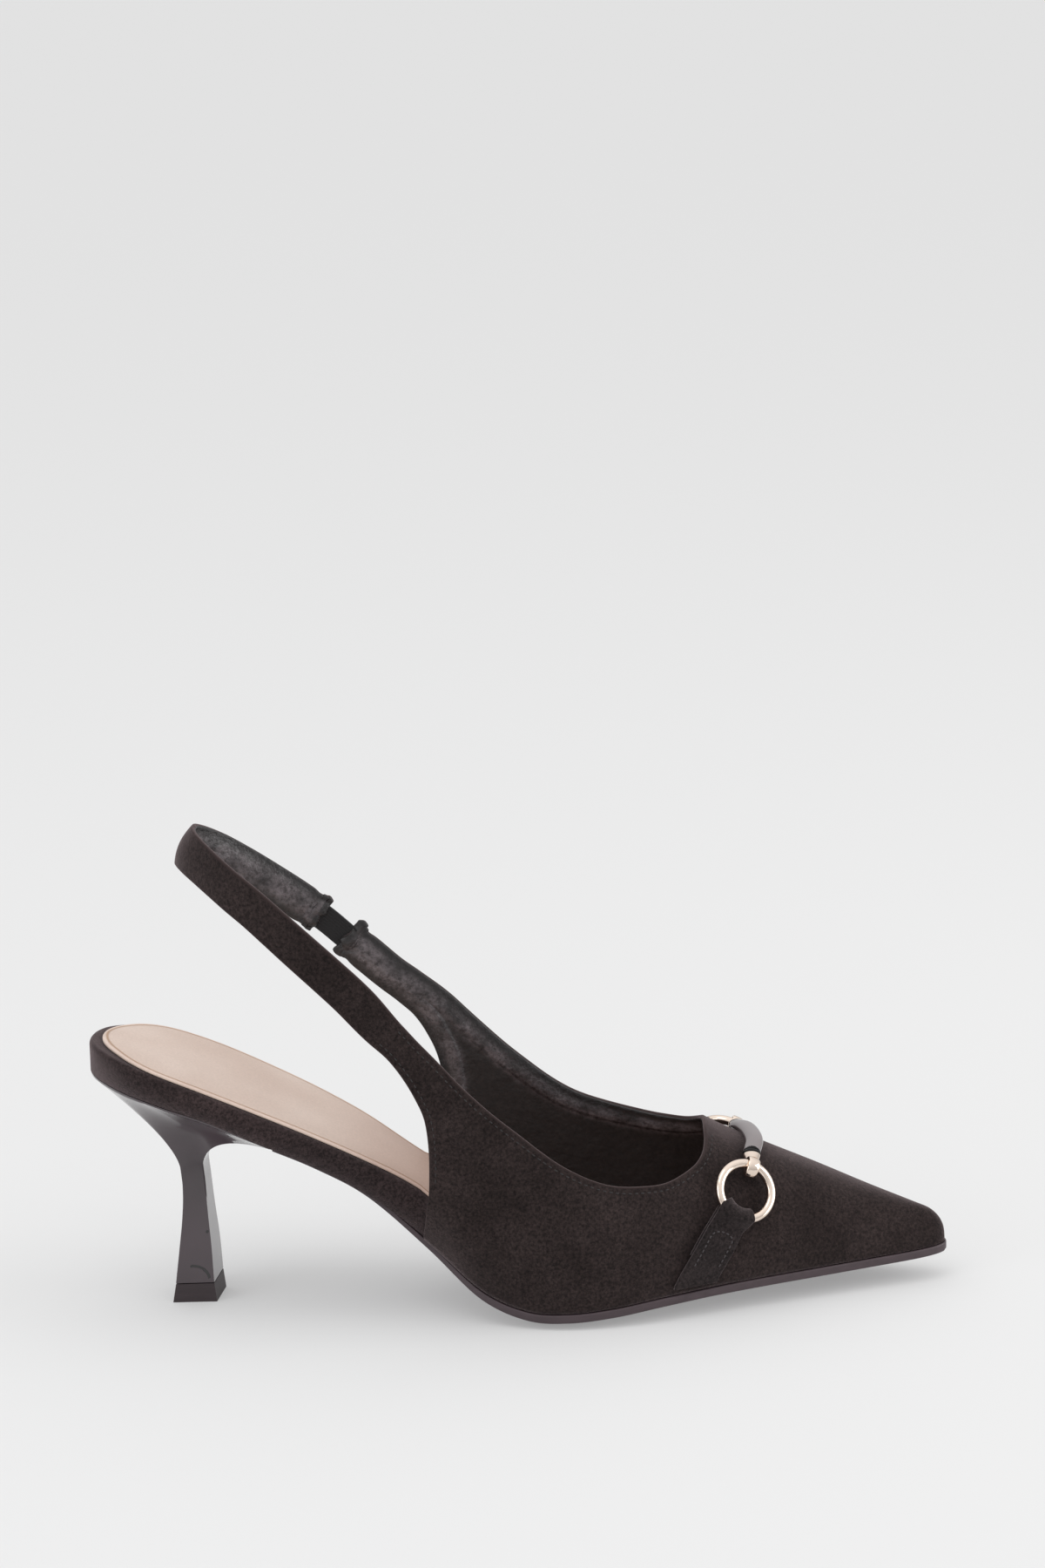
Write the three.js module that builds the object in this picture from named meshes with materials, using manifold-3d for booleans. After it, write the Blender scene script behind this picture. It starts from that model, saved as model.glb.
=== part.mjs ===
// A right slingback pump, drawn in millimetres with +X towards the toe, +Y towards the
// inner side of the foot and +Z up. The floor is z = 0.
import * as THREE from "three";
import Module from "manifold-3d";

// Overall sizes
const shoeLength = 245;
const ballWidth = 66;
const seatHeight = 69.5;
const toeSpring = 6.1;
const vampHeight = 40.5;

// Walls, boards and clearances
const upperWall = 1.6;
const soleThickness = 2.5;
const waistThickness = 1.9;
const soleFlange = 0.5;
const treadCrown = 1.9;
const boardHeight = 9;
const sockThickness = 0.8;
const sockInset = 1.2;
const sockBack = 2.6;
const clearance = 0.3;

// Strap that runs round the heel
const strapWidth = 10.6;
const strapBackWidth = 12.4;
const strapHeight = 134.6;
const strapReach = 29.4;
const strapCamber = 1.2;
const stubLength = 19.4;
const elasticLength = 9.6;
const elasticWidth = 7.6;
const elasticThickness = 1.2;

// Heel
const topPieceHeight = 5.5;
const tipLength = 12.6;
const tipBackWidth = 16.5;
const tipFrontWidth = 12.8;
const stemSetback = 22.3;
const stemTurn = -5.8;
const stemRise = 41;
const heelReach = 53;

// Ring, bar and keepers on the vamp
const ringOuter = 18.6;
const ringWire = 2.6;
const barWidth = 5.1;
const barThickness = 3.1;
const ferruleLength = 5.2;
const ferruleTip = 3.6;
const knuckleTurn = 78;
const knuckleDrop = 0.7;
const knuckleWall = 0.9;
const knuckleWidth = 4;
const keeperWidth = 9.4;
const keeperThickness = 1.2;
const keeperFold = 13;

// A table keeps one array for each named column
function table(names, rows) {
  const columns = {};
  names.split(" ").forEach((name, c) => { columns[name] = rows.map((row) => row[c]); });
  columns.count = rows.length;
  return columns;
}

// Sections of the shoe from the heel to the toe: a share of shoeLength; the two edges, the
// swell of the two walls and the ridge line as shares of ballWidth; the height of the sole's
// top edge as shares of seatHeight and of toeSpring; the board as a share of boardHeight;
// and the ridge's height as a share of vampHeight
const sections = table("at lateral medial lift spring board swellLateral swellMedial rise ridge", [
  [0.000, 0.000, 0.000, 1.000, 0.00, 1.11, 0.11, 0.12, 3.9, 0.000],
  [0.005, -0.114, 0.114, 0.998, 0.00, 1.11, 0.11, 0.12, 3.9, 0.000],
  [0.020, -0.212, 0.212, 0.990, 0.00, 1.10, 0.11, 0.12, 3.9, 0.000],
  [0.049, -0.311, 0.311, 0.965, 0.00, 1.08, 0.11, 0.12, 3.9, 0.000],
  [0.090, -0.368, 0.371, 0.921, 0.00, 1.02, 0.11, 0.12, 3.9, 0.000],
  [0.143, -0.386, 0.386, 0.852, 0.00, 0.96, 0.11, 0.12, 3.9, 0.000],
  [0.204, -0.379, 0.371, 0.745, 0.00, 1.00, 0.11, 0.12, 3.9, -0.005],
  [0.265, -0.368, 0.333, 0.639, 0.00, 1.00, 0.11, 0.12, 3.8, -0.015],
  [0.327, -0.361, 0.270, 0.502, 0.00, 1.14, 0.106, 0.134, 3.7, -0.020],
  [0.396, -0.364, 0.235, 0.279, 0.00, 1.57, 0.114, 0.174, 3.2, -0.022],
  [0.457, -0.439, 0.303, 0.087, 0.00, 1.68, 0.068, 0.144, 2.67, -0.015],
  [0.510, -0.500, 0.379, 0.010, 0.00, 1.12, 0.030, 0.091, 2.27, 0.000],
  [0.559, -0.523, 0.439, 0.000, 0.03, 0.61, 0.023, 0.053, 1.90, 0.015],
  [0.612, -0.500, 0.482, 0.000, 0.20, 0.46, 0.015, 0.027, 1.56, 0.030],
  [0.665, -0.439, 0.485, 0.000, 0.44, 0.44, 0.015, 0.012, 1.25, 0.045],
  [0.727, -0.341, 0.462, 0.000, 0.61, 0.44, 0.012, 0.012, 0.983, 0.064],
  [0.788, -0.242, 0.417, 0.000, 0.69, 0.44, 0.010, 0.010, 0.800, 0.083],
  [0.849, -0.144, 0.364, 0.000, 0.74, 0.44, 0.008, 0.008, 0.630, 0.103],
  [0.910, -0.045, 0.311, 0.000, 0.79, 0.44, 0.005, 0.005, 0.450, 0.126],
  [0.959, 0.030, 0.258, 0.000, 0.85, 0.44, 0.000, 0.000, 0.313, 0.139],
  [0.984, 0.076, 0.217, 0.000, 0.90, 0.44, 0.000, 0.000, 0.236, 0.145],
  [0.997, 0.112, 0.185, 0.000, 0.96, 0.44, 0.000, 0.000, 0.130, 0.148],
  [1.000, 0.148, 0.148, 0.000, 1.00, 0.44, 0.000, 0.000, 0.000, 0.148],
]);

// The cut of the upper on the last: a share of shoeLength and an angle up the wall, where
// 0 degrees is the sole's edge and 90 degrees the ridge
const toplineLateral = table("at angle", [
  [0.376, 26.4], [0.400, 27.4], [0.430, 29.2], [0.464, 31.4], [0.510, 32.8], [0.560, 32.6],
  [0.608, 32.9], [0.648, 36.3], [0.678, 41.0], [0.703, 49.8], [0.716, 59.0], [0.7208, 71.0],
  [0.7195, 90.0],
]);
const toplineMedial = table("at angle", [
  [0.370, 27.4], [0.400, 30.2], [0.430, 33.2], [0.464, 36.0], [0.510, 37.6], [0.560, 38.5],
  [0.605, 41.2], [0.640, 45.2], [0.670, 50.2], [0.696, 57.0], [0.7105, 66.0], [0.717, 77.0],
  [0.7195, 90.0],
]);
const rearEdgeLateral = table("at angle", [
  [0.343, 19.3], [0.360, 19.8], [0.376, 19.7], [0.389, 19.0], [0.399, 17.6], [0.403, 14.0],
  [0.402, 9.3], [0.397, 4.6], [0.391, 0.0],
]);
const rearEdgeMedial = table("at angle", [
  [0.343, 19.8], [0.360, 20.6], [0.376, 21.3], [0.389, 21.0], [0.401, 19.6], [0.407, 16.5],
  [0.406, 10.5], [0.401, 5.0], [0.394, 0.0],
]);

// The two arms of the strap, from the quarter to the back of the heel: shares of the way
// back, of the way up and of the way across to the middle
const armLateral = table("run rise across", [
  [0.000, 0.000, 0.000], [0.156, 0.210, 0.000], [0.280, 0.352, 0.020], [0.406, 0.486, 0.060],
  [0.521, 0.604, 0.120], [0.643, 0.722, 0.218], [0.771, 0.830, 0.356], [0.890, 0.926, 0.557],
  [0.972, 0.984, 0.775], [1.000, 1.000, 1.000],
]);
const armMedial = table("run rise across", [
  [0.000, 0.000, 0.000], [0.120, 0.127, 0.000], [0.234, 0.252, 0.000], [0.349, 0.383, 0.020],
  [0.481, 0.517, 0.075], [0.610, 0.640, 0.165], [0.740, 0.765, 0.300], [0.858, 0.876, 0.475],
  [0.958, 0.965, 0.735], [1.000, 1.000, 1.000],
]);

// Sections of the heel's stem: a share of its height, the setback of its back and its depth
// as shares of tipLength, and its two widths as shares of the top piece's
const stem = table("height setback depth back front", [
  [0.00, 0.00, 1.00, 1.00, 1.02],
  [0.13, 0.08, 0.87, 0.99, 1.00],
  [0.40, 0.20, 0.71, 0.98, 0.91],
  [0.66, 0.31, 0.53, 1.00, 0.77],
  [0.86, 0.35, 0.45, 1.06, 0.67],
  [1.00, 0.33, 0.43, 1.14, 0.63],
]);

const radians = Math.PI / 180;
const mix = (a, b, share) => a + (b - a) * share;
const smooth = (a, b, x) => {
  const s = Math.min(1, Math.max(0, (x - a) / (b - a)));
  return s * s * (3 - 2 * s);
};
const steps = (count, from = 0, to = 1) =>
  Array.from({ length: count + 1 }, (_, i) => mix(from, to, i / count));

// Smooth curve through evenly numbered values; before and after are the neighbours beyond
// the two ends
function through(values, t, before, after) {
  const last = values.length - 1;
  const i = Math.min(last - 1, Math.max(0, Math.floor(t)));
  const f = t - i;
  const a = i > 0 ? values[i - 1] : before ?? 2 * values[0] - values[1];
  const b = values[i];
  const c = values[i + 1];
  const d = i < last - 1 ? values[i + 2] : after ?? 2 * values[last] - values[last - 1];
  return 0.5 * (2 * b + (c - a) * f + (2 * a - 5 * b + 4 * c - d) * f * f
    + (3 * b - a - 3 * c + d) * f * f * f);
}

// At heel and toe the outline closes on itself, so beyond each end its two edges change
// places and the ridge turns down
const endStation = sections.count - 1;
const opposite = { lateral: "medial", medial: "lateral" };
function section(name, t) {
  const values = sections[name];
  if (name === "at") return through(values, t, values[1], values[endStation - 1]);
  if (name === "rise") return through(values, t, values[1], -values[endStation - 1]);
  if (name in opposite) {
    const other = sections[opposite[name]];
    return through(values, t, other[1], other[endStation - 1]);
  }
  return through(values, t);
}
const stationList = steps(2200, 0, endStation);
const stationShares = stationList.map((t) => section("at", t));
function stationAt(share) {
  let low = 0;
  let high = stationList.length - 1;
  while (high - low > 1) {
    const middle = (low + high) >> 1;
    if (stationShares[middle] <= share) low = middle;
    else high = middle;
  }
  const gap = stationShares[high] - stationShares[low];
  const part = gap > 0 ? (share - stationShares[low]) / gap : 0;
  return mix(stationList[low], stationList[high], Math.min(1, Math.max(0, part)));
}

// Height of the sole's top edge plus the clearance, which is where upper and board begin
const edgeBase = soleThickness + treadCrown + clearance;
const edgeHeight = (t) => edgeBase + (seatHeight - edgeBase) * section("lift", t)
  + toeSpring * section("spring", t);
const edgeHeightAt = (x) => edgeHeight(stationAt(x / shoeLength));
const boardAt = (x) => boardHeight * section("board", stationAt(x / shoeLength));

// The last: a point at station t, so many degrees up the wall of one side
const wallRound = 2.3;
const swellHeight = 22;
function last(t, degrees, side) {
  const angle = degrees * radians;
  const edge = side < 0 ? "lateral" : "medial";
  const swell = side < 0 ? "swellLateral" : "swellMedial";
  const middle = section("ridge", t) * ballWidth;
  const height = vampHeight * section("rise", t) * Math.sin(angle);
  const bulge = section(swell, t) * Math.sin(Math.min(1, height / swellHeight) * Math.PI / 2);
  const reach = Math.abs(section(edge, t) * ballWidth - middle) + bulge * ballWidth;
  const inward = Math.pow(Math.max(0, Math.cos(angle)), 2 / wallRound);
  return new THREE.Vector3(
    section("at", t) * shoeLength, middle + side * reach * inward, edgeHeight(t) + height);
}

// Closed meshes are gathered as lists of points and triangles, with equal points shared
class Solid {
  constructor() {
    this.points = [];
    this.faces = [];
    this.found = new Map();
  }

  point(p) {
    const key = [p.x, p.y, p.z].map((v) => Math.round(v * 500)).join();
    if (!this.found.has(key)) {
      this.found.set(key, this.points.length);
      this.points.push(p.clone());
    }
    return this.found.get(key);
  }

  triangle(a, b, c) {
    if (a !== b && b !== c && c !== a) this.faces.push([a, b, c]);
  }

  quad(a, b, c, d) {
    this.triangle(a, b, c);
    this.triangle(a, c, d);
  }

  // A grid of rows; each quad turns from a row to the next, or the other way when flipped
  grid(rows, flipped = false) {
    const ids = rows.map((row) => row.map((p) => this.point(p)));
    for (let i = 0; i + 1 < ids.length; i += 1) {
      for (let j = 0; j + 1 < ids[i].length; j += 1) {
        const [a, b, c, d] = [ids[i][j], ids[i + 1][j], ids[i + 1][j + 1], ids[i][j + 1]];
        if (flipped) this.quad(a, d, c, b);
        else this.quad(a, b, c, d);
      }
    }
    return ids;
  }

  // Rings joined into a tube, closed at both ends by a fan about the end ring's middle
  tube(rings) {
    this.grid(rings.map((ring) => [...ring, ring[0]]));
    this.cap(rings[0], true);
    this.cap(rings[rings.length - 1], false);
  }

  cap(ring, ahead) {
    const middle = ring.reduce((sum, p) => sum.add(p), new THREE.Vector3());
    const centre = this.point(middle.divideScalar(ring.length));
    ring.forEach((p, i) => {
      const a = this.point(p);
      const b = this.point(ring[(i + 1) % ring.length]);
      if (ahead) this.triangle(centre, a, b);
      else this.triangle(centre, b, a);
    });
  }

  normals() {
    const sums = this.points.map(() => new THREE.Vector3());
    for (const [a, b, c] of this.faces) {
      const u = this.points[b].clone().sub(this.points[a]);
      const v = this.points[c].clone().sub(this.points[a]);
      u.cross(v);
      for (const i of [a, b, c]) sums[i].add(u);
    }
    return sums.map((n) => n.normalize());
  }

  // An open sheet becomes a wall: a second sheet inside it and a rim along each open edge
  thicken(wall, settle) {
    const count = this.points.length;
    const inward = this.normals();
    for (let i = 0; i < count; i += 1) {
      const inner = this.points[i].clone().addScaledVector(inward[i], -wall);
      this.points.push(settle(inner, this.points[i]));
    }
    const sheet = this.faces.slice();
    const edges = new Set(sheet.flatMap(([a, b, c]) => [`${a},${b}`, `${b},${c}`, `${c},${a}`]));
    for (const [a, b, c] of sheet) this.faces.push([a + count, c + count, b + count]);
    for (const edge of edges) {
      const [a, b] = edge.split(",").map(Number);
      if (!edges.has(`${b},${a}`)) this.quad(b, a, a + count, b + count);
    }
  }

  // Six times the volume, which is negative where the faces point inwards
  volume() {
    return this.faces.reduce((sum, [a, b, c]) => {
      const across = this.points[b].clone().cross(this.points[c]);
      return sum + this.points[a].dot(across);
    }, 0);
  }

  geometry() {
    if (this.volume() < 0) this.faces.forEach((face) => face.reverse());
    const made = new THREE.BufferGeometry();
    const numbers = this.points.flatMap((p) => [p.x, p.y, p.z]);
    made.setAttribute("position", new THREE.Float32BufferAttribute(numbers, 3));
    made.setIndex(this.faces.flat());
    made.computeVertexNormals();
    return made;
  }
}

// Upper: ribs from the sole's edge, or the quarter's rear edge, up to the topline
const ribCells = 9;
const rearRibs = 8;
const sideRibs = 15;
const toeRibs = 14;
const armRibs = 16;
const throatFoot = 0.775;
const cornerHead = 2.3;

function rib(side, footStation, footAngle, headStation, headAngle) {
  return steps(ribCells).map((v) =>
    last(mix(footStation, headStation, v), mix(footAngle, headAngle, v), side));
}

function bodyRibs(side) {
  const topline = side < 0 ? toplineLateral : toplineMedial;
  const rearEdge = side < 0 ? rearEdgeLateral : rearEdgeMedial;
  const topStation = (h) => stationAt(through(topline.at, h));
  const topAngle = (h) => Math.min(90, through(topline.angle, h));
  const corner = stationAt(rearEdge.at[rearEdge.count - 1]);
  const throat = stationAt(topline.at[topline.count - 1]);
  const foot = stationAt(throatFoot);
  const rows = [];
  for (const w of steps(rearRibs)) {
    const edge = w * (rearEdge.count - 1);
    const head = w * cornerHead;
    rows.push(rib(side, stationAt(through(rearEdge.at, edge)),
      Math.max(0, through(rearEdge.angle, edge)), topStation(head), topAngle(head)));
  }
  for (const w of steps(sideRibs).slice(1)) {
    const head = mix(cornerHead, topline.count - 1, w);
    rows.push(rib(side, mix(corner, foot, w), 0, topStation(head), topAngle(head)));
  }
  for (const w of steps(toeRibs).slice(1)) {
    rows.push(rib(side, mix(foot, endStation, w), 0, mix(throat, endStation, w), 90));
  }
  return rows;
}

// The strap's middle line and its tilt, from one quarter to the back of the heel
const wallTilt = 6;
const backTilt = 27;
const strapBack = new THREE.Vector3(strapReach, 0, strapHeight);

function arm(side, start) {
  const rows = side < 0 ? armLateral : armMedial;
  const place = (a) => {
    const t = a * (rows.count - 1);
    const mirrored = (name) => 2 - rows[name][rows.count - 2];
    const back = (name) => rows[name][rows.count - 2];
    return new THREE.Vector3(
      mix(start.x, strapBack.x, through(rows.run, t, undefined, back("run"))),
      mix(start.y, strapBack.y, through(rows.across, t, undefined, mirrored("across"))),
      mix(start.z, strapBack.z, through(rows.rise, t, undefined, back("rise"))));
  };
  const lengths = [0];
  const walk = steps(400);
  walk.slice(1).forEach((a, i) => {
    lengths.push(lengths[i] + place(a).distanceTo(place(walk[i])));
  });
  const shareAt = (distance) => {
    const i = lengths.findIndex((length) => length >= distance);
    return i < 0 ? 1 : walk[i];
  };
  // Points across the strap, from its lower to its upper edge
  const across = (a, width, cells, outward = 0) => {
    const step = 0.004;
    const along = place(Math.min(1, a + step)).sub(place(Math.max(0, a - step)));
    if (a >= 1) along.set(0, along.y, 0);
    const behind = through(rows.across, a * (rows.count - 1)) ** 2;
    const tilt = mix(wallTilt, backTilt, behind) * radians;
    const facing = new THREE.Vector3(side * along.y, -side * along.x, 0).normalize();
    facing.multiplyScalar(Math.cos(tilt)).add(new THREE.Vector3(0, 0, Math.sin(tilt)));
    const up = new THREE.Vector3().crossVectors(facing, along).normalize();
    if (up.z < 0) up.negate();
    const wide = width * mix(1, strapBackWidth / strapWidth, behind);
    return steps(cells, -0.5, 0.5).map((v) =>
      place(a).addScaledVector(up, v * wide)
        .addScaledVector(facing, outward + strapCamber * behind * (1 - 4 * v * v)));
  };
  return { place, shareAt, across, length: lengths[lengths.length - 1] };
}
const middleOf = (row) => row[0].clone().add(row[row.length - 1]).multiplyScalar(0.5);

const lateralBody = bodyRibs(-1);
const medialBody = bodyRibs(1);
const lateralArm = arm(-1, middleOf(lateralBody[0]));
const medialArm = arm(1, middleOf(medialBody[0]));
const stubShare = medialArm.shareAt(stubLength);
const strapShare = medialArm.shareAt(stubLength + elasticLength);

function upper() {
  const solid = new Solid();
  const across = (side, a) => side.across(a, strapWidth, ribCells);
  const round = [
    ...steps(armRibs, strapShare, 1).map((a) => across(medialArm, a)),
    ...steps(armRibs, 1, 0).slice(1, -1).map((a) => across(lateralArm, a)),
  ];
  const stub = steps(5, stubShare, 0).slice(0, -1).map((a) => across(medialArm, a));
  solid.grid([...round, ...lateralBody]);
  solid.grid([...stub, ...medialBody], true);
  solid.thicken(upperWall, (inner, outer) => {
    const low = outer.z - edgeHeightAt(outer.x);
    if (low < 0.01 && outer.x > shoeLength * rearEdgeLateral.at[rearEdgeLateral.count - 1] - 1) {
      inner.z = edgeHeightAt(inner.x);
    }
    return inner;
  });
  return solid.geometry();
}

const quarterStart = rearEdgeLateral.at[rearEdgeLateral.count - 1] * shoeLength;

// A point of the outline at station t, moved inwards by an inset; the height is left at 0
function edgePoint(t, side, inset) {
  const edge = side < 0 ? "lateral" : "medial";
  const place = (u) => new THREE.Vector3(
    section("at", u) * shoeLength, section(edge, u) * ballWidth, 0);
  const step = 0.01;
  const from = Math.max(0, t - step);
  const to = Math.min(endStation, t + step);
  const along = place(to).sub(place(from));
  if (t <= 0 || t >= endStation) along.set(0, t <= 0 ? side : -side, 0);
  const inward = new THREE.Vector3(side * along.y, -side * along.x, 0).normalize();
  return place(t).addScaledVector(inward, inset);
}

// How far the wall stands outside the outline at a height above the sole's edge
function wallSpread(t, side, height) {
  const ridge = vampHeight * section("rise", t);
  const x = section("at", t) * shoeLength;
  if (height <= 0 || ridge <= height || x < quarterStart) return 0;
  const wall = last(t, Math.asin(height / ridge) / radians, side).y;
  return (wall - section(side < 0 ? "lateral" : "medial", t) * ballWidth)
    * smooth(quarterStart - 1, quarterStart + 6, x);
}

// A flat body between two stations: each section is a loop of places across and up, where
// across runs from -1 at the lateral edge to 1 at the medial one
function slab(stations, inset, loop, height, rearmost = -Infinity) {
  const solid = new Solid();
  const rings = stations.map((t) => {
    const ends = [-1, 1].map((side) => edgePoint(t, side, inset(t)));
    return loop.map(([across, up]) => {
      const [a, b] = ends.map((p, i) => {
        const lifted = height(p.x, 1, up) - edgeHeightAt(p.x);
        return p.clone().add(new THREE.Vector3(0, wallSpread(t, 2 * i - 1, lifted), 0));
      });
      const p = a.lerp(b, (across + 1) / 2);
      p.x = Math.max(p.x, rearmost);
      p.z = height(p.x, across, up);
      return p;
    });
  });
  solid.grid(rings.map((ring) => [...ring, ring[0]]), true);
  const half = loop.length / 2;
  for (const [ring, ahead] of [[rings[0], false], [rings[rings.length - 1], true]]) {
    const sides = [ring.slice(0, half), ring.slice(half).reverse()];
    solid.grid(sides, ahead);
  }
  return solid;
}

// Outsole: thin and set in under the waist, then level with the upper and a little proud;
// its tread is one flat spot under the ball
const heelFront = stationAt(heelReach / shoeLength);
const waistInset = 4.6;
const treadHalf = 0.45;
const forepart = (x) => smooth(0.3, 0.47, x / shoeLength);
const crown = table("at share", [
  [0.20, 0.0], [0.36, 0.1], [0.44, 0.5], [0.50, 1.05], [0.56, 1.4], [0.61, 1.75], [0.665, 1.7],
  [0.73, 1.4], [0.85, 0.9], [1.00, 0.3],
]);
function crownAt(share) {
  const next = crown.at.findIndex((at) => at >= share);
  if (next <= 0) return crown.share[next < 0 ? crown.count - 1 : 0];
  const part = (share - crown.at[next - 1]) / (crown.at[next] - crown.at[next - 1]);
  return mix(crown.share[next - 1], crown.share[next], part);
}
function outsoleHeight(x, across, up) {
  const top = edgeHeightAt(x) - clearance;
  if (up > 0) return top;
  const edge = top - mix(waistThickness, soleThickness, forepart(x));
  const middle = Math.max(0, edge - treadCrown * crownAt(x / shoeLength));
  const rise = Math.max(0, (Math.abs(across) - treadHalf) / (1 - treadHalf));
  return Math.max(0, mix(middle, edge, rise * rise));
}
const soleInset = (t) =>
  mix(waistInset, -soleFlange, forepart(section("at", t) * shoeLength));
const soleAcross = [-1, -0.82, -0.64, -treadHalf, 0, treadHalf, 0.64, 0.82, 1];
function outsole() {
  const rearmost = heelReach + clearance;
  const start = stationAt(rearmost / shoeLength);
  const loop = [...soleAcross.map((a) => [a, 0]), ...soleAcross.toReversed().map((a) => [a, 1])];
  return slab(
    steps(36, start, endStation), soleInset, loop, outsoleHeight, rearmost).geometry();
}

// Footbed: a covered board, as wide as the seat behind and inside the wall in front
const boardTaper = 22;
const footbedInset = (t) => {
  const x = section("at", t) * shoeLength;
  const inside = smooth(quarterStart - boardTaper, quarterStart - 1.5, x)
    * (upperWall + 3 * clearance);
  return inside + smooth(0.9, 1, x / shoeLength) * 1.4;
};
const boardStations = [
  ...steps(13, 0, stationAt((quarterStart - boardTaper) / shoeLength)),
  ...steps(4, stationAt((quarterStart - boardTaper) / shoeLength),
    stationAt((quarterStart - 1.5) / shoeLength)).slice(1, -1),
  ...steps(20, stationAt((quarterStart - 1.5) / shoeLength), endStation),
];
const footbedTop = (x) => edgeHeightAt(x) + boardAt(x) - sockThickness - clearance;
function footbed() {
  const rim = [[-1, 0.78], [-0.93, 1], [-0.5, 1], [0, 1], [0.5, 1], [0.93, 1], [1, 0.78]];
  const bottom = [-1, -0.93, -0.5, 0, 0.5, 0.93, 1].map((a) => [a, 0]);
  const around = [...bottom, ...rim.toReversed()];
  return slab(boardStations, footbedInset, around, (x, across, up) =>
    mix(edgeHeightAt(x), footbedTop(x), up)).geometry();
}

// Sock: the thin lining that covers the footbed from heel to toe, set in further at the back
const sockBackReach = 0.09;
const sockAround = (t) => footbedInset(t) + sockInset
  + sockBack * (1 - smooth(0, sockBackReach, section("at", t)));
function sock() {
  const bottom = [-1, -0.5, 0, 0.5, 1].map((a) => [a, 0]);
  const loop = [...bottom, ...bottom.toReversed().map(([a]) => [a, 1])];
  return slab(boardStations, sockAround, loop,
    (x, across, up) => footbedTop(x) + clearance + up * sockThickness).geometry();
}

// Heel: a slim stem that flares out to the seat
const heelSide = 11;
const heelBreast = 4;
const cornerShare = 0.68;
const lipHeight = 0.5;
const lipFront = 0.4;
const seatCorner = 0.62;
const seatFrontInset = 1.6;
const seatBackInset = 0.2;
const seatMiddle = 0.52;
const stemBase = topPieceHeight + clearance;

function stemLoop(height) {
  const share = Math.min(1, Math.max(0, height / stemRise));
  const rows = stem.height;
  const next = Math.max(1, rows.findIndex((h) => h >= share - 1e-9));
  const part = (share - rows[next - 1]) / (rows[next] - rows[next - 1]);
  const value = (name) => mix(stem[name][next - 1], stem[name][next], part);
  const back = stemSetback + tipLength * value("setback");
  const depth = tipLength * value("depth");
  const backHalf = tipBackWidth * value("back") / 2;
  const frontHalf = tipFrontWidth * value("front") / 2;
  const side = (sign) => steps(heelSide).map((f) => {
    const along = Math.min(1, f / cornerShare);
    const behind = Math.max(0, (f - cornerShare) / (1 - cornerShare));
    return new THREE.Vector3(
      back + depth * (1 - along), sign * mix(frontHalf, backHalf, along) * (1 - behind), height);
  });
  const front = steps(heelBreast, 1, -1).slice(1, -1).map((v) =>
    new THREE.Vector3(back + depth, v * frontHalf, height));
  const loop = [...side(-1), ...side(1).reverse().slice(1), ...front];
  const middle = new THREE.Vector3(back + depth / 2, 0, height);
  return loop.map((p) =>
    p.sub(middle).applyAxisAngle(new THREE.Vector3(0, 0, 1), stemTurn * radians).add(middle));
}

function seatLoop(scale, lip) {
  const side = (sign) => steps(heelSide).map((f) => {
    const t = mix(heelFront, 0, f < cornerShare ? f / cornerShare * seatCorner
      : mix(seatCorner, 1, (f - cornerShare) / (1 - cornerShare)));
    return edgePoint(t, sign, mix(seatFrontInset, seatBackInset, Math.min(1, 3 * f)));
  });
  const [a, b] = [side(1)[0], side(-1)[0]];
  const front = steps(heelBreast).slice(1, -1).map((v) => a.clone().lerp(b, v));
  const loop = [...side(-1), ...side(1).reverse().slice(1), ...front];
  const centre = new THREE.Vector3(heelReach * seatMiddle, 0, 0);
  return loop.map((p) => {
    const q = p.lerp(centre, 1 - scale);
    q.x = Math.min(q.x, heelReach);
    const thin = smooth(0.5, 1, q.x / heelReach);
    q.z = edgeHeightAt(q.x) - clearance - lip * mix(lipHeight, lipFront, thin);
    return q;
  });
}

// The flare runs straight up to the rim at the back and arches under the seat at the front
const flareBack = { reach: 0.05, rise: 0.22 };
const flareFront = { reach: 0.1, rise: 0.985 };
const flareSide = [-26, 16];
function heel() {
  const solid = new Solid();
  const stemTop = stemLoop(stemRise);
  const lip = seatLoop(1, 1);
  const rings = [stemBase, ...[0.22, 0.4, 0.66, 0.86].map((share) => share * stemRise)]
    .map((z) => stemLoop(z));
  for (const f of steps(9)) {
    rings.push(stemTop.map((p, i) => {
      const q = lip[i];
      const ahead = smooth(...flareSide, q.x - p.x);
      const turn = p.clone().lerp(q, mix(flareBack.reach, flareFront.reach, ahead));
      turn.z = mix(p.z, q.z, mix(flareBack.rise, flareFront.rise, ahead));
      return p.clone().multiplyScalar((1 - f) ** 2).addScaledVector(turn, 2 * f * (1 - f))
        .addScaledVector(q, f * f);
    }));
  }
  for (const scale of [1, 0.7, 0.35]) rings.push(seatLoop(scale, 0));
  solid.tube(rings);
  return solid.geometry();
}

function topPiece() {
  const solid = new Solid();
  solid.tube([0, topPieceHeight].map((z) => stemLoop(z)));
  return solid.geometry();
}

// Elastic: a short band that joins the strap's end to the inner quarter's
function elastic() {
  const solid = new Solid();
  const middle = -(upperWall + elasticThickness) / 2;
  const gap = 1.5 * clearance / medialArm.length;
  const rings = steps(4, strapShare - gap, stubShare + gap).map((a) => [
    ...medialArm.across(a, elasticWidth, 3, middle + elasticThickness),
    ...medialArm.across(a, elasticWidth, 3, middle).reverse(),
  ]);
  solid.tube(rings);
  return solid.geometry();
}

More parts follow.
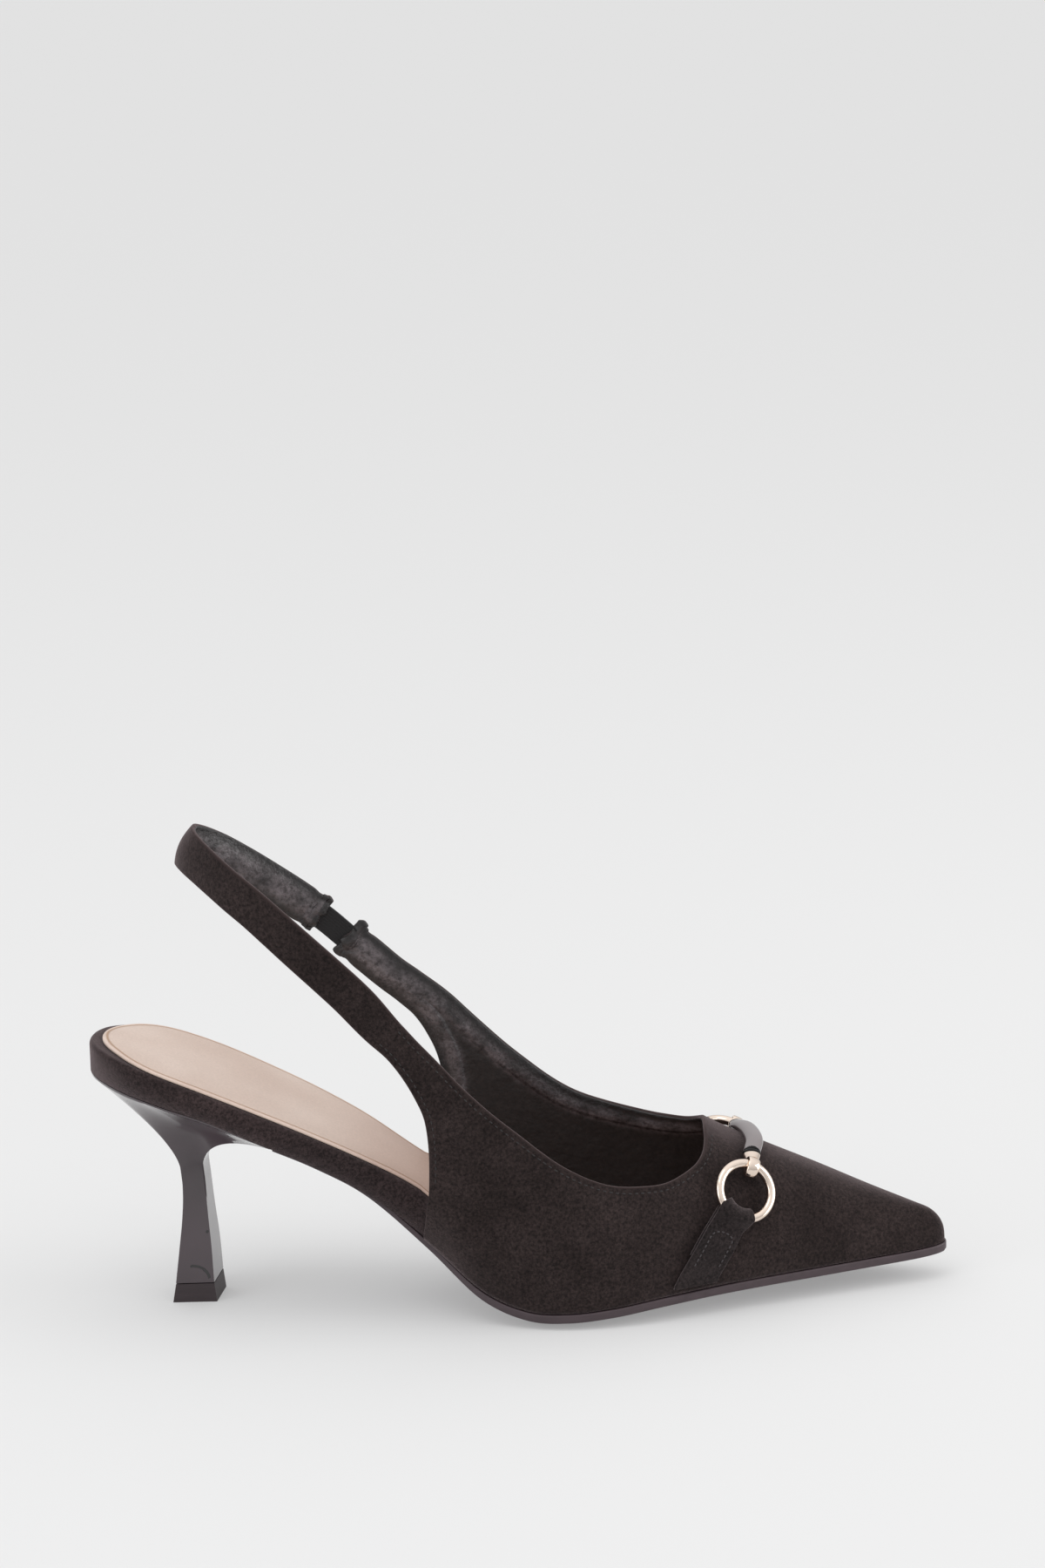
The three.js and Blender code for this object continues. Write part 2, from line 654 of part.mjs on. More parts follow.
// The last's own directions at a point: along it, up its wall and straight out of it
function frameOn(share, degrees, side) {
  const t = stationAt(share);
  const small = 0.01;
  const place = last(t, degrees, side);
  const along = last(t + small, degrees, side).sub(last(t - small, degrees, side)).normalize();
  const climb = last(t, degrees + 1, side).sub(last(t, degrees - 1, side));
  const out = along.clone().cross(climb).multiplyScalar(-side).normalize();
  const up = out.clone().cross(along).multiplyScalar(-side);
  return { place, along, up, out };
}
function outside([share, degrees], side, distance) {
  const { place, out } = frameOn(share, degrees, side);
  return place.addScaledVector(out, distance);
}

// Each side's ring and keeper on the last, as a share of shoeLength and an angle: the ring's
// centre and the ends of the keeper's rear and front edges, at the sole and at the ring
const hardware = {
  lateral: {
    side: -1, centre: [0.7592, 43.2],
    rear: [[0.679, 2.5], [0.7295, 33.0]], front: [[0.727, 2.5], [0.760, 27.0]],
  },
  medial: {
    side: 1, centre: [0.7390, 44.5],
    rear: [[0.660, 2.5], [0.709, 34.0]], front: [[0.708, 2.5], [0.740, 29.0]],
  },
};
const sides = ["lateral", "medial"];
const ringRadius = (ringOuter - ringWire) / 2;
const keeperUnder = clearance + keeperThickness / 2;
const keeperLayer = keeperUnder + keeperThickness + clearance;
const keeperTurn = ringWire / 2 + 1.5 * clearance + keeperThickness / 2;

// A point beside the keeper's middle line: v runs across it from -1 to 1 and f up to the ring
function keeperPlace(name, v, f) {
  const { rear, front } = hardware[name];
  return [0, 1].map((c) => {
    const [foot, top] = [0, 1].map((k) => mix(rear[k][c], front[k][c], (v + 1) / 2));
    return mix(foot, top, f);
  });
}

// The ring lies so far off the last that the keeper passes under its wire
function ringFrame(name) {
  const { side, centre } = hardware[name];
  const frame = frameOn(...centre, side);
  const top = outside(keeperPlace(name, 0, 1), side, 0);
  const drop = frame.place.clone().sub(top).dot(frame.out);
  frame.centre = frame.place.clone()
    .addScaledVector(frame.out, keeperTurn + keeperUnder + 1.5 * clearance - drop);
  const toTop = top.sub(frame.centre);
  frame.foot = toTop.addScaledVector(frame.out, -toTop.dot(frame.out)).normalize();
  frame.beside = frame.foot.clone().cross(frame.out).multiplyScalar(side);
  const hook = knuckleTurn * radians;
  frame.head = frame.along.clone().multiplyScalar(Math.cos(hook))
    .addScaledVector(frame.up, Math.sin(hook));
  return frame;
}
const frames = Object.fromEntries(sides.map((name) => [name, ringFrame(name)]));

function torus(frame, wire, turns, round) {
  const solid = new Solid();
  const circle = (count) => [...steps(count, 0, 2 * Math.PI).slice(0, -1), 0];
  solid.grid(circle(turns).map((a) => {
    const arm = frame.along.clone().multiplyScalar(Math.cos(a))
      .addScaledVector(frame.up, Math.sin(a));
    return circle(round).map((b) => frame.centre.clone()
      .addScaledVector(arm, ringRadius + wire * Math.cos(b))
      .addScaledVector(frame.out, wire * Math.sin(b)));
  }));
  return solid;
}
const ring = (name) => torus(frames[name], ringWire / 2, 26, 8).geometry();

// Bar over the ridge, from the head of one ring to the head of the other
const barOffset = barThickness / 2 + clearance;
const barPath = [
  [-1, [0.769, 68]], [-1, [0.7725, 80]], [-1, [0.770, 89]],
  [1, [0.763, 81]], [1, [0.7545, 70]],
];
const ringHead = (name) =>
  frames[name].centre.clone().addScaledVector(frames[name].head, ringRadius);
const bar = new THREE.CatmullRomCurve3([
  ringHead("lateral"),
  ...barPath.map(([side, place]) => outside(place, side, barOffset + clearance / 2)),
  ringHead("medial"),
]);
const barLength = bar.getLength();

// An oval bar between two distances along the curve, with half a width and half a thickness
// at each step
function ovalBar(from, to, count, halves) {
  const solid = new Solid();
  solid.tube(steps(count).map((f) => {
    const u = mix(from, to, f) / barLength;
    const along = bar.getTangentAt(u);
    const out = new THREE.Vector3(1, 0, 0).cross(along).normalize();
    const beside = along.clone().cross(out);
    const [wide, thick] = halves(f);
    return steps(12, 0, 2 * Math.PI).slice(0, -1).map((a) => bar.getPointAt(u)
      .addScaledVector(out, thick * Math.sin(a))
      .addScaledVector(beside, wide * Math.cos(a)));
  }));
  return solid;
}
const sleeveEnd = 0.88;
function barSleeve() {
  return ovalBar(ferruleLength, barLength - ferruleLength, 12, (f) => {
    const half = (f > 0 && f < 1 ? 1 : sleeveEnd) / 2;
    return [half * barWidth, half * barThickness];
  }).geometry();
}

// Ferrule: a cup on the sleeve's end that tapers to a knuckle round the ring's wire
const wasm = await Module();
wasm.setup();
function manifold(solid) {
  if (solid.volume() < 0) solid.faces.forEach((face) => face.reverse());
  return new wasm.Manifold(new wasm.Mesh({
    numProp: 3,
    vertProperties: new Float32Array(solid.points.flatMap((p) => [p.x, p.y, p.z])),
    triVerts: new Uint32Array(solid.faces.flat()),
  }));
}
function fromManifold(made) {
  const mesh = made.getMesh();
  const geometry = new THREE.BufferGeometry();
  geometry.setAttribute("position", new THREE.Float32BufferAttribute(mesh.vertProperties, 3));
  geometry.setIndex(Array.from(mesh.triVerts));
  geometry.computeVertexNormals();
  return geometry;
}
function ferrule(name) {
  const frame = frames[name];
  const bore = ringWire / 2 + clearance;
  const [mouth, throat] = [ferruleLength - clearance, bore + knuckleWall / 2]
    .map((distance) => (name === "lateral" ? distance : barLength - distance));
  const cup = ovalBar(mouth, throat, 6, (f) => {
    const taper = smooth(0.15, 0.9, f);
    return [mix(barWidth, ferruleTip, taper) / 2, mix(barThickness, ferruleTip, taper) / 2];
  });
  const across = frame.head.clone().cross(frame.out);
  const middle = ringHead(name).addScaledVector(frame.head, -knuckleDrop);
  const knuckle = new Solid();
  knuckle.tube([-0.5, 0.5].map((v) => steps(14, 0, 2 * Math.PI).slice(0, -1).map((a) =>
    middle.clone().addScaledVector(across, v * knuckleWidth)
      .addScaledVector(frame.head, (bore + knuckleWall + knuckleDrop) * Math.cos(a))
      .addScaledVector(frame.out, (bore + knuckleWall) * Math.sin(a)))));
  return fromManifold(manifold(cup).add(manifold(knuckle))
    .subtract(manifold(torus(frame, bore, 26, 8))));
}

// Keeper: a strap from the sole's edge up to the ring and over its wire; the end lies
// underneath, between the strap and the vamp
const foldFrom = 55;
const foldTo = 270;
const foldFoot = 0.88;
const freeRise = 0.16;
function keeper(name) {
  const { side } = hardware[name];
  const frame = frames[name];
  const columns = steps(4, -1, 1);
  const onVamp = (f, offset) => columns.map((v) => {
    const { place, out } = frameOn(...keeperPlace(name, v, f), side);
    return { place: place.addScaledVector(out, offset), out };
  });
  const length = outside(keeperPlace(name, 0, 0), side, 0)
    .distanceTo(outside(keeperPlace(name, 0, 1), side, 0));
  const free = 1 - keeperFold / length;
  const rise = (f) => mix(keeperUnder, keeperLayer, smooth(free - freeRise, free, f));
  const rows = steps(9, 0, foldFoot).map((f) => onVamp(f, rise(f)));
  for (const turn of steps(8, foldFrom, foldTo)) {
    rows.push(columns.map((v) => {
      const bend = Math.asin(v * keeperWidth / 2 / ringRadius);
      const arm = frame.foot.clone().multiplyScalar(Math.cos(bend))
        .addScaledVector(frame.beside, Math.sin(bend));
      const out = arm.clone().multiplyScalar(Math.cos(turn * radians))
        .addScaledVector(frame.out, Math.sin(turn * radians));
      return { place: frame.centre.clone().addScaledVector(arm, ringRadius)
        .addScaledVector(out, keeperTurn), out };
    }));
  }
  for (const f of steps(4, foldFoot, free)) {
    rows.push(onVamp(f, keeperUnder).map(({ place, out }) => ({ place, out: out.negate() })));
  }
  const solid = new Solid();
  solid.tube(rows.map((row) => {
    const [outer, inner] = [0.5, -0.5].map((half) => row.map(({ place, out }) =>
      place.clone().addScaledVector(out, half * keeperThickness)));
    return [...outer, ...inner.reverse()];
  }));
  return solid.geometry();
}

const colours = {
  suede: [0x2f2a28, 0.95, 0],
  sockLining: [0xd6c3b7, 0.6, 0],
  soleEdge: [0x4a3d42, 0.45, 0],
  heelCover: [0x4a3f45, 0.25, 0],
  rubber: [0x3a3235, 0.7, 0],
  elastic: [0x1c1a1b, 0.9, 0],
  gold: [0xe8d5b8, 0.2, 1],
  enamel: [0x141314, 0.15, 0],
};
function piece(name, geometry, look) {
  const [color, roughness, metalness] = colours[look];
  const made = new THREE.Mesh(
    geometry, new THREE.MeshStandardMaterial({ color, roughness, metalness }));
  made.name = name;
  return made;
}

const shoe = new THREE.Group();
shoe.add(
  piece("outsole", outsole(), "soleEdge"),
  piece("footbed", footbed(), "suede"),
  piece("sock", sock(), "sockLining"),
  piece("upper", upper(), "suede"),
  piece("elastic", elastic(), "elastic"),
  piece("heel", heel(), "heelCover"),
  piece("top_piece", topPiece(), "rubber"),
  piece("bar_sleeve", barSleeve(), "enamel"),
  ...sides.flatMap((name) => [
    piece(`ring_${name}`, ring(name), "gold"),
    piece(`ferrule_${name}`, ferrule(name), "gold"),
    piece(`keeper_${name}`, keeper(name), "suede"),
  ]),
);

// The origin is the middle of the box around the shoe, at floor height
const around = new THREE.Box3().setFromObject(shoe);
const centre = around.getCenter(new THREE.Vector3());
shoe.position.set(-centre.x, -centre.y, -around.min.z);
export default shoe;
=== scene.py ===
# A right slingback pump in brown-black suede, worked out in millimetres and made in metres.
# +X runs to the toe, +Y to the inner side of the foot and +Z up; the floor is z = 0.
import math

import bpy
import numpy as np
from mathutils import Matrix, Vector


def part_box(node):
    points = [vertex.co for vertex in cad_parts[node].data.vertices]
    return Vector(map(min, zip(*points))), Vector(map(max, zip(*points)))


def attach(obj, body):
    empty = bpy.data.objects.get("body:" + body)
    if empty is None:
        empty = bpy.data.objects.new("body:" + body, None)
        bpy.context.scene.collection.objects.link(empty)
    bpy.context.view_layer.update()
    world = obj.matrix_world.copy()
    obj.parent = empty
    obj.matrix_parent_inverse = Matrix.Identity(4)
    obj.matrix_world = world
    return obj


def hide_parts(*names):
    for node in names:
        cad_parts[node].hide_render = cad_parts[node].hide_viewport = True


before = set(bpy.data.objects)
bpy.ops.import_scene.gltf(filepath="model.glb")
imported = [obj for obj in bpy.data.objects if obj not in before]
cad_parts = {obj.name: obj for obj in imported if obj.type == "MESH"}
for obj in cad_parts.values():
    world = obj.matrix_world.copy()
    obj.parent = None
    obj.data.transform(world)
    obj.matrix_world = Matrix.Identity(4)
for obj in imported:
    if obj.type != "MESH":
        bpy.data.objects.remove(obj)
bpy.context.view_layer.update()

# Overall sizes
shoe_length = 245.0
ball_width = 66.0
seat_height = 69.5
toe_spring = 6.1
vamp_height = 40.5

# Walls, boards and clearances
upper_wall = 1.6
edge_roll = 0.35
sole_thickness = 2.5
waist_thickness = 1.9
sole_flange = 0.5
tread_crown = 1.9
board_height = 9.0
sock_thickness = 0.8
sock_inset = 1.2
sock_back = 2.6
clearance = 0.3

# Strap that runs round the heel
strap_width = 10.6
strap_back_width = 12.4
strap_height = 134.6
strap_reach = 29.4
strap_camber = 1.2
stub_length = 19.4
elastic_length = 9.6
elastic_width = 7.6
elastic_thickness = 1.2

# Heel
top_piece_height = 5.5
tip_length = 12.6
tip_back_width = 16.5
tip_front_width = 12.8
stem_setback = 22.3
stem_turn = -5.8
stem_rise = 41.0
heel_reach = 53.0

# Ring, bar and keepers on the vamp
ring_outer = 18.6
ring_wire = 2.6
bar_width = 5.1
bar_thickness = 3.1
ferrule_length = 5.2
ferrule_tip = 3.6
knuckle_turn = 78.0
knuckle_drop = 0.7
knuckle_wall = 0.9
knuckle_width = 4.0
keeper_width = 9.4
keeper_thickness = 1.2
keeper_fold = 13.0


def table(names, rows):
    """One array for each named column."""
    return dict(zip(names.split(), np.array(rows, float).T))


# Sections from the heel to the toe: a share of shoe_length; the two edges, the swell of the
# walls and the ridge as shares of ball_width; the height of the sole's top edge as shares of
# seat_height and toe_spring; the board as a share of board_height; the ridge's height as a
# share of vamp_height
sections = table("at lateral medial lift spring board swell_lateral swell_medial rise ridge", [
    [0.000, 0.000, 0.000, 1.000, 0.00, 1.11, 0.11, 0.12, 3.9, 0.000],
    [0.005, -0.114, 0.114, 0.998, 0.00, 1.11, 0.11, 0.12, 3.9, 0.000],
    [0.020, -0.212, 0.212, 0.990, 0.00, 1.10, 0.11, 0.12, 3.9, 0.000],
    [0.049, -0.311, 0.311, 0.965, 0.00, 1.08, 0.11, 0.12, 3.9, 0.000],
    [0.090, -0.368, 0.371, 0.921, 0.00, 1.02, 0.11, 0.12, 3.9, 0.000],
    [0.143, -0.386, 0.386, 0.852, 0.00, 0.96, 0.11, 0.12, 3.9, 0.000],
    [0.204, -0.379, 0.371, 0.745, 0.00, 1.00, 0.11, 0.12, 3.9, -0.005],
    [0.265, -0.368, 0.333, 0.639, 0.00, 1.00, 0.11, 0.12, 3.8, -0.015],
    [0.327, -0.361, 0.270, 0.502, 0.00, 1.14, 0.106, 0.134, 3.7, -0.020],
    [0.396, -0.364, 0.235, 0.279, 0.00, 1.57, 0.114, 0.174, 3.2, -0.022],
    [0.457, -0.439, 0.303, 0.087, 0.00, 1.68, 0.068, 0.144, 2.67, -0.015],
    [0.510, -0.500, 0.379, 0.010, 0.00, 1.12, 0.030, 0.091, 2.27, 0.000],
    [0.559, -0.523, 0.439, 0.000, 0.03, 0.61, 0.023, 0.053, 1.90, 0.015],
    [0.612, -0.500, 0.482, 0.000, 0.20, 0.46, 0.015, 0.027, 1.56, 0.030],
    [0.665, -0.439, 0.485, 0.000, 0.44, 0.44, 0.015, 0.012, 1.25, 0.045],
    [0.727, -0.341, 0.462, 0.000, 0.61, 0.44, 0.012, 0.012, 0.983, 0.064],
    [0.788, -0.242, 0.417, 0.000, 0.69, 0.44, 0.010, 0.010, 0.800, 0.083],
    [0.849, -0.144, 0.364, 0.000, 0.74, 0.44, 0.008, 0.008, 0.630, 0.103],
    [0.910, -0.045, 0.311, 0.000, 0.79, 0.44, 0.005, 0.005, 0.450, 0.126],
    [0.959, 0.030, 0.258, 0.000, 0.85, 0.44, 0.000, 0.000, 0.313, 0.139],
    [0.984, 0.076, 0.217, 0.000, 0.90, 0.44, 0.000, 0.000, 0.236, 0.145],
    [0.997, 0.112, 0.185, 0.000, 0.96, 0.44, 0.000, 0.000, 0.130, 0.148],
    [1.000, 0.148, 0.148, 0.000, 1.00, 0.44, 0.000, 0.000, 0.000, 0.148],
])

# The cut of the upper: a share of shoe_length and an angle up the wall, 0 at the sole's edge
# and 90 at the ridge. Side -1 is the outer side of the foot and 1 the inner one
toplines = {
    -1: table("at angle", [
        [0.376, 26.4], [0.400, 27.4], [0.430, 29.2], [0.464, 31.4], [0.510, 32.8],
        [0.560, 32.6], [0.608, 32.9], [0.648, 36.3], [0.678, 41.0], [0.703, 49.8],
        [0.716, 59.0], [0.7208, 71.0], [0.7195, 90.0],
    ]),
    1: table("at angle", [
        [0.370, 27.4], [0.400, 30.2], [0.430, 33.2], [0.464, 36.0], [0.510, 37.6],
        [0.560, 38.5], [0.605, 41.2], [0.640, 45.2], [0.670, 50.2], [0.696, 57.0],
        [0.7105, 66.0], [0.717, 77.0], [0.7195, 90.0],
    ]),
}
rear_edges = {
    -1: table("at angle", [
        [0.343, 19.3], [0.360, 19.8], [0.376, 19.7], [0.389, 19.0], [0.399, 17.6],
        [0.403, 14.0], [0.402, 9.3], [0.397, 4.6], [0.391, 0.0],
    ]),
    1: table("at angle", [
        [0.343, 19.8], [0.360, 20.6], [0.376, 21.3], [0.389, 21.0], [0.401, 19.6],
        [0.407, 16.5], [0.406, 10.5], [0.401, 5.0], [0.394, 0.0],
    ]),
}

# The strap's two arms, from the quarter to the back of the heel: shares of the way back, of
# the way up and of the way across to the middle
arms = {
    -1: table("run rise across", [
        [0.000, 0.000, 0.000], [0.156, 0.210, 0.000], [0.280, 0.352, 0.020],
        [0.406, 0.486, 0.060], [0.521, 0.604, 0.120], [0.643, 0.722, 0.218],
        [0.771, 0.830, 0.356], [0.890, 0.926, 0.557], [0.972, 0.984, 0.775],
        [1.000, 1.000, 1.000],
    ]),
    1: table("run rise across", [
        [0.000, 0.000, 0.000], [0.120, 0.127, 0.000], [0.234, 0.252, 0.000],
        [0.349, 0.383, 0.020], [0.481, 0.517, 0.075], [0.610, 0.640, 0.165],
        [0.740, 0.765, 0.300], [0.858, 0.876, 0.475], [0.958, 0.965, 0.735],
        [1.000, 1.000, 1.000],
    ]),
}

# Sections of the heel's stem: a share of its height, the setback of its back and its depth as
# shares of tip_length, and its two widths as shares of the top piece's
stem = table("height setback depth back front", [
    [0.00, 0.00, 1.00, 1.00, 1.02],
    [0.13, 0.08, 0.87, 0.99, 1.00],
    [0.40, 0.20, 0.71, 0.98, 0.91],
    [0.66, 0.31, 0.53, 1.00, 0.77],
    [0.86, 0.35, 0.45, 1.06, 0.67],
    [1.00, 0.33, 0.43, 1.14, 0.63],
])


def mix(a, b, share):
    """The value at a share of the way from a to b."""
    return a + (b - a) * share


def smooth(a, b, x):
    """0 below a, 1 above b, and an even S between them."""
    s = np.clip((x - a) / (b - a), 0, 1)
    return s * s * (3 - 2 * s)


def spread(count, start=0.0, end=1.0):
    """count + 1 even steps."""
    return np.linspace(start, end, count + 1)


def unit(v):
    """Each vector divided by its length."""
    return v / np.maximum(np.linalg.norm(v, axis=-1, keepdims=True), 1e-12)


def through(values, t, before=None, after=None):
    """Smooth cubic through evenly numbered values; each stretch takes its slope from the
    two neighbours, and before and after are the neighbours beyond the ends."""
    t = np.asarray(t, float)
    first = 2 * values[0] - values[1] if before is None else before
    final = 2 * values[-1] - values[-2] if after is None else after
    padded = np.concatenate([[first], values, [final]])
    i = np.clip(np.floor(t).astype(int), 0, len(values) - 2)
    f = t - i
    a, b, c, d = padded[i], padded[i + 1], padded[i + 2], padded[i + 3]
    square = (2 * a - 5 * b + 4 * c - d) * f * f
    cube = (3 * b - a - 3 * c + d) * f * f * f
    return 0.5 * (2 * b + (c - a) * f + square + cube)


end_station = len(sections["at"]) - 1
edge_names = {-1: "lateral", 1: "medial"}
opposite = {"lateral": "medial", "medial": "lateral"}


def section(name, t):
    """A column of the sections at station t. Beyond heel and toe the two edges change places
    and the ridge turns down, so the outline closes smoothly."""
    values = sections[name]
    if name == "at":
        return through(values, t, values[1], values[-2])
    if name == "rise":
        return through(values, t, values[1], -values[-2])
    if name in opposite:
        other = sections[opposite[name]]
        return through(values, t, other[1], other[-2])
    return through(values, t)


station_list = spread(2200, 0, end_station)
station_shares = section("at", station_list)


def station_at(share):
    """The station at a share of the shoe's length."""
    return np.interp(share, station_shares, station_list)


edge_base = sole_thickness + tread_crown + clearance


def edge_height(t):
    """Height of the sole's top edge plus the clearance, at a station."""
    lift = (seat_height - edge_base) * section("lift", t)
    return edge_base + lift + toe_spring * section("spring", t)


def edge_height_at(x):
    """The same at a distance from the back of the shoe."""
    return edge_height(station_at(x / shoe_length))


wall_round = 2.3
swell_height = 22.0


def last(t, degrees, side):
    """A point of the last: the height is the ridge's times the sine of the angle, and the
    reach from the ridge is the edge's plus a swell, times a flattened cosine."""
    t, degrees = np.broadcast_arrays(np.asarray(t, float), np.asarray(degrees, float))
    angle = np.radians(degrees)
    edge = edge_names[side]
    middle = section("ridge", t) * ball_width
    height = vamp_height * section("rise", t) * np.sin(angle)
    bulge = np.sin(np.minimum(1, height / swell_height) * math.pi / 2)
    reach = np.abs(section(edge, t) * ball_width - middle)
    reach = reach + section("swell_" + edge, t) * bulge * ball_width
    inward = np.maximum(0, np.cos(angle)) ** (2 / wall_round)
    x = section("at", t) * shoe_length
    return np.stack([x, middle + side * reach * inward, edge_height(t) + height], -1)


# Meshes from arrays


def weld(points, faces):
    """Points closer than a thousandth of a millimetre become one, and triangles that lose a
    corner by it are dropped."""
    keys = np.round(points * 1000).astype(np.int64)
    _, keep, turned = np.unique(keys, axis=0, return_index=True, return_inverse=True)
    faces = turned.reshape(-1)[faces]
    good = (faces[:, 0] != faces[:, 1]) & (faces[:, 1] != faces[:, 2])
    good &= faces[:, 2] != faces[:, 0]
    return points[keep], faces[good]


def grid_faces(rows, columns, flipped=False):
    """Two triangles for each cell of a grid of rows and columns."""
    a = (np.arange(rows - 1)[:, None] * columns + np.arange(columns - 1)).reshape(-1)
    b, c, d = a + columns, a + columns + 1, a + 1
    if flipped:
        b, d = d, b
    return np.concatenate([np.stack([a, b, c], -1), np.stack([a, c, d], -1)])


def way_along(points):
    """Distance from the first point to each one, along the line through them all."""
    steps = np.linalg.norm(np.diff(points, axis=0), axis=1)
    return np.concatenate([[0], np.cumsum(steps)])


def point_at(distance, way, points):
    """Points at a distance along a line, straight between its own points."""
    return np.stack([np.interp(distance, way, points[:, k]) for k in range(3)], -1)


def bell(x, middle, width):
    """1 at the middle, falling as e to the minus square of the way out in widths."""
    return np.exp(-((x - middle) / width) ** 2)


def join(*meshes):
    """Meshes put together as one."""
    points = np.concatenate([m[0] for m in meshes])
    starts = np.cumsum([0] + [len(m[0]) for m in meshes[:-1]])
    return points, np.concatenate([m[1] + s for m, s in zip(meshes, starts)])


def volume(points, faces):
    """Six times the volume inside a closed mesh, as the sum of each face's with the origin."""
    a, b, c = (points[faces[:, k]] for k in range(3))
    return float(np.einsum("ij,ij->i", a, np.cross(b, c)).sum())


def outward(mesh):
    """A closed mesh with its faces turned outwards, by the sign of its volume."""
    points, faces = mesh
    return (points, faces[:, ::-1]) if volume(points, faces) < 0 else mesh


def fan(loop, start, flipped):
    """A fan of triangles from a loop's middle, which is added as a point."""
    count = len(loop)
    a = start + np.arange(count)
    b = start + (np.arange(count) + 1) % count
    centre = np.full(count, start + count)
    order = [centre, b, a] if flipped else [centre, a, b]
    return np.vstack([loop, loop.mean(axis=0)]), np.stack(order, -1)


def tube(rings):
    """Closed loops joined into a tube with a fan at both ends."""
    count, around = rings.shape[:2]
    closed = np.concatenate([rings, rings[:, :1]], axis=1)
    body = closed.reshape(-1, 3), grid_faces(count, around + 1)
    near = fan(rings[0], 0, False)
    far = fan(rings[-1], 0, True)
    return outward(weld(*join(body, near, far)))


def point_normals(points, faces):
    """Area-weighted normals."""
    a, b, c = (points[faces[:, k]] for k in range(3))
    crossed = np.cross(b - a, c - a)
    sums = np.zeros_like(points)
    for k in range(3):
        np.add.at(sums, faces[:, k], crossed)
    return unit(sums)


def open_edges(faces, count):
    """Directed edges that have no partner the other way round."""
    a = np.concatenate([faces[:, 0], faces[:, 1], faces[:, 2]])
    b = np.concatenate([faces[:, 1], faces[:, 2], faces[:, 0]])
    alone = ~np.isin(a * count + b, b * count + a)
    return np.stack([a[alone], b[alone]], -1)


# The turns of a rim's half round between its two ends, and the first of its bands that is
# the lining's
rim_turns = np.radians([30, 60, 90, 120, 150])
lining_band = 4


def shell(points, faces, wall, roll, level=None):
    """An open sheet as a wall: an inner sheet at the wall's depth, and along each open edge a
    half-round rim that stands out by roll, whose bands from lining_band on are the lining's.
    level says which points lie on the sole, where the wall's foot is flat. Returns points,
    faces, which faces are the lining's, and each point's distance from a free edge."""
    points, faces = weld(points, faces)
    count = len(points)
    out = point_normals(points, faces)
    edges = open_edges(faces, count)
    along = np.zeros_like(points)
    step = points[edges[:, 1]] - points[edges[:, 0]]
    np.add.at(along, edges[:, 0], step)
    np.add.at(along, edges[:, 1], step)
    rim = np.unique(edges)
    thick = wall(points) if callable(wall) else np.full(count, float(wall))
    inner = points - thick[:, None] * out
    foot = np.zeros(count, bool)
    if level is not None:
        foot[rim] = level(points[rim])
        inner[foot, 2] = edge_height_at(inner[foot, 0])
    away = unit(np.cross(along[rim], out[rim]))
    reach = np.where(foot[rim], 0.0, roll)
    middle = (points[rim] + inner[rim]) / 2
    half = (points[rim] - inner[rim]) / 2
    arcs = [
        middle + half * math.cos(a) + away * (reach * math.sin(a))[:, None]
        for a in rim_turns
    ]
    place = np.full(count, -1)
    place[rim] = np.arange(len(rim))
    a, b = edges[:, 0], edges[:, 1]
    rows = [(a, b)]
    for k in range(len(arcs)):
        base = 2 * count + k * len(rim)
        rows.append((base + place[a], base + place[b]))
    rows.append((a + count, b + count))
    parts = [faces]
    lining = [np.zeros(len(faces), bool)]
    for k in range(len(rows) - 1):
        (a0, b0), (a1, b1) = rows[k], rows[k + 1]
        parts += [np.stack([b0, a0, a1], -1), np.stack([b0, a1, b1], -1)]
        lining += [np.full(len(a0), k >= lining_band)] * 2
    parts.append(faces[:, ::-1] + count)
    lining.append(np.ones(len(faces), bool))
    every = np.concatenate([points, inner, *arcs])
    free = points[rim[~foot[rim]]]
    apart = nearest(points, free)
    far = np.concatenate([apart, apart, np.zeros(len(rim) * len(arcs))])
    return every, np.concatenate(parts), np.concatenate(lining), far


def nearest(points, others):
    """Distance from each point to the nearest of the others."""
    found = []
    for part in np.array_split(points, max(1, len(points) // 2000)):
        gaps = ((part[:, None] - others[None]) ** 2).sum(-1)
        found.append(np.sqrt(gaps.min(axis=1)))
    return np.concatenate(found)


def stem_value(name, share):
    """A column of the stem's table between its rows, as a smooth curve."""
    row = np.interp(share, stem["height"], np.arange(len(stem["height"])))
    return through(stem[name], row)


corner_share = 0.68


def stem_loop(height, side_steps, front_steps):
    """One section of the stem: a trapezoid with its long side at the back, turned a little."""
    share = min(1.0, max(0.0, height / stem_rise))
    back = stem_setback + tip_length * stem_value("setback", share)
    depth = tip_length * stem_value("depth", share)
    back_half = tip_back_width * stem_value("back", share) / 2
    front_half = tip_front_width * stem_value("front", share) / 2
    along = np.minimum(1, side_steps / corner_share)
    behind = np.maximum(0, (side_steps - corner_share) / (1 - corner_share))
    x = back + depth * (1 - along)
    y = mix(front_half, back_half, along) * (1 - behind)
    level = np.full_like(x, height)
    outer = np.stack([x, -y, level], -1)
    inner = np.stack([x, y, level], -1)[::-1][1:]
    v = front_steps[1:-1]
    face = np.stack([np.full_like(v, back + depth), v * front_half, np.full_like(v, height)], -1)
    loop = np.concatenate([outer, inner, face])
    middle = np.array([back + depth / 2, 0, 0])
    turn = math.radians(stem_turn)
    spin = np.array([
        [math.cos(turn), math.sin(turn), 0],
        [-math.sin(turn), math.cos(turn), 0],
        [0, 0, 1],
    ])
    return (loop - middle) @ spin + middle


# The solids stand about the middle of their box: the top piece, drawn the same way, gives
# the step from the sizes above to their frame
plain_side = spread(11)
plain_front = spread(4, 1, -1)
tip_corner = stem_loop(0.0, plain_side, plain_front).min(axis=0)
shift = np.array(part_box("top_piece")[0]) * 1000 - tip_corner


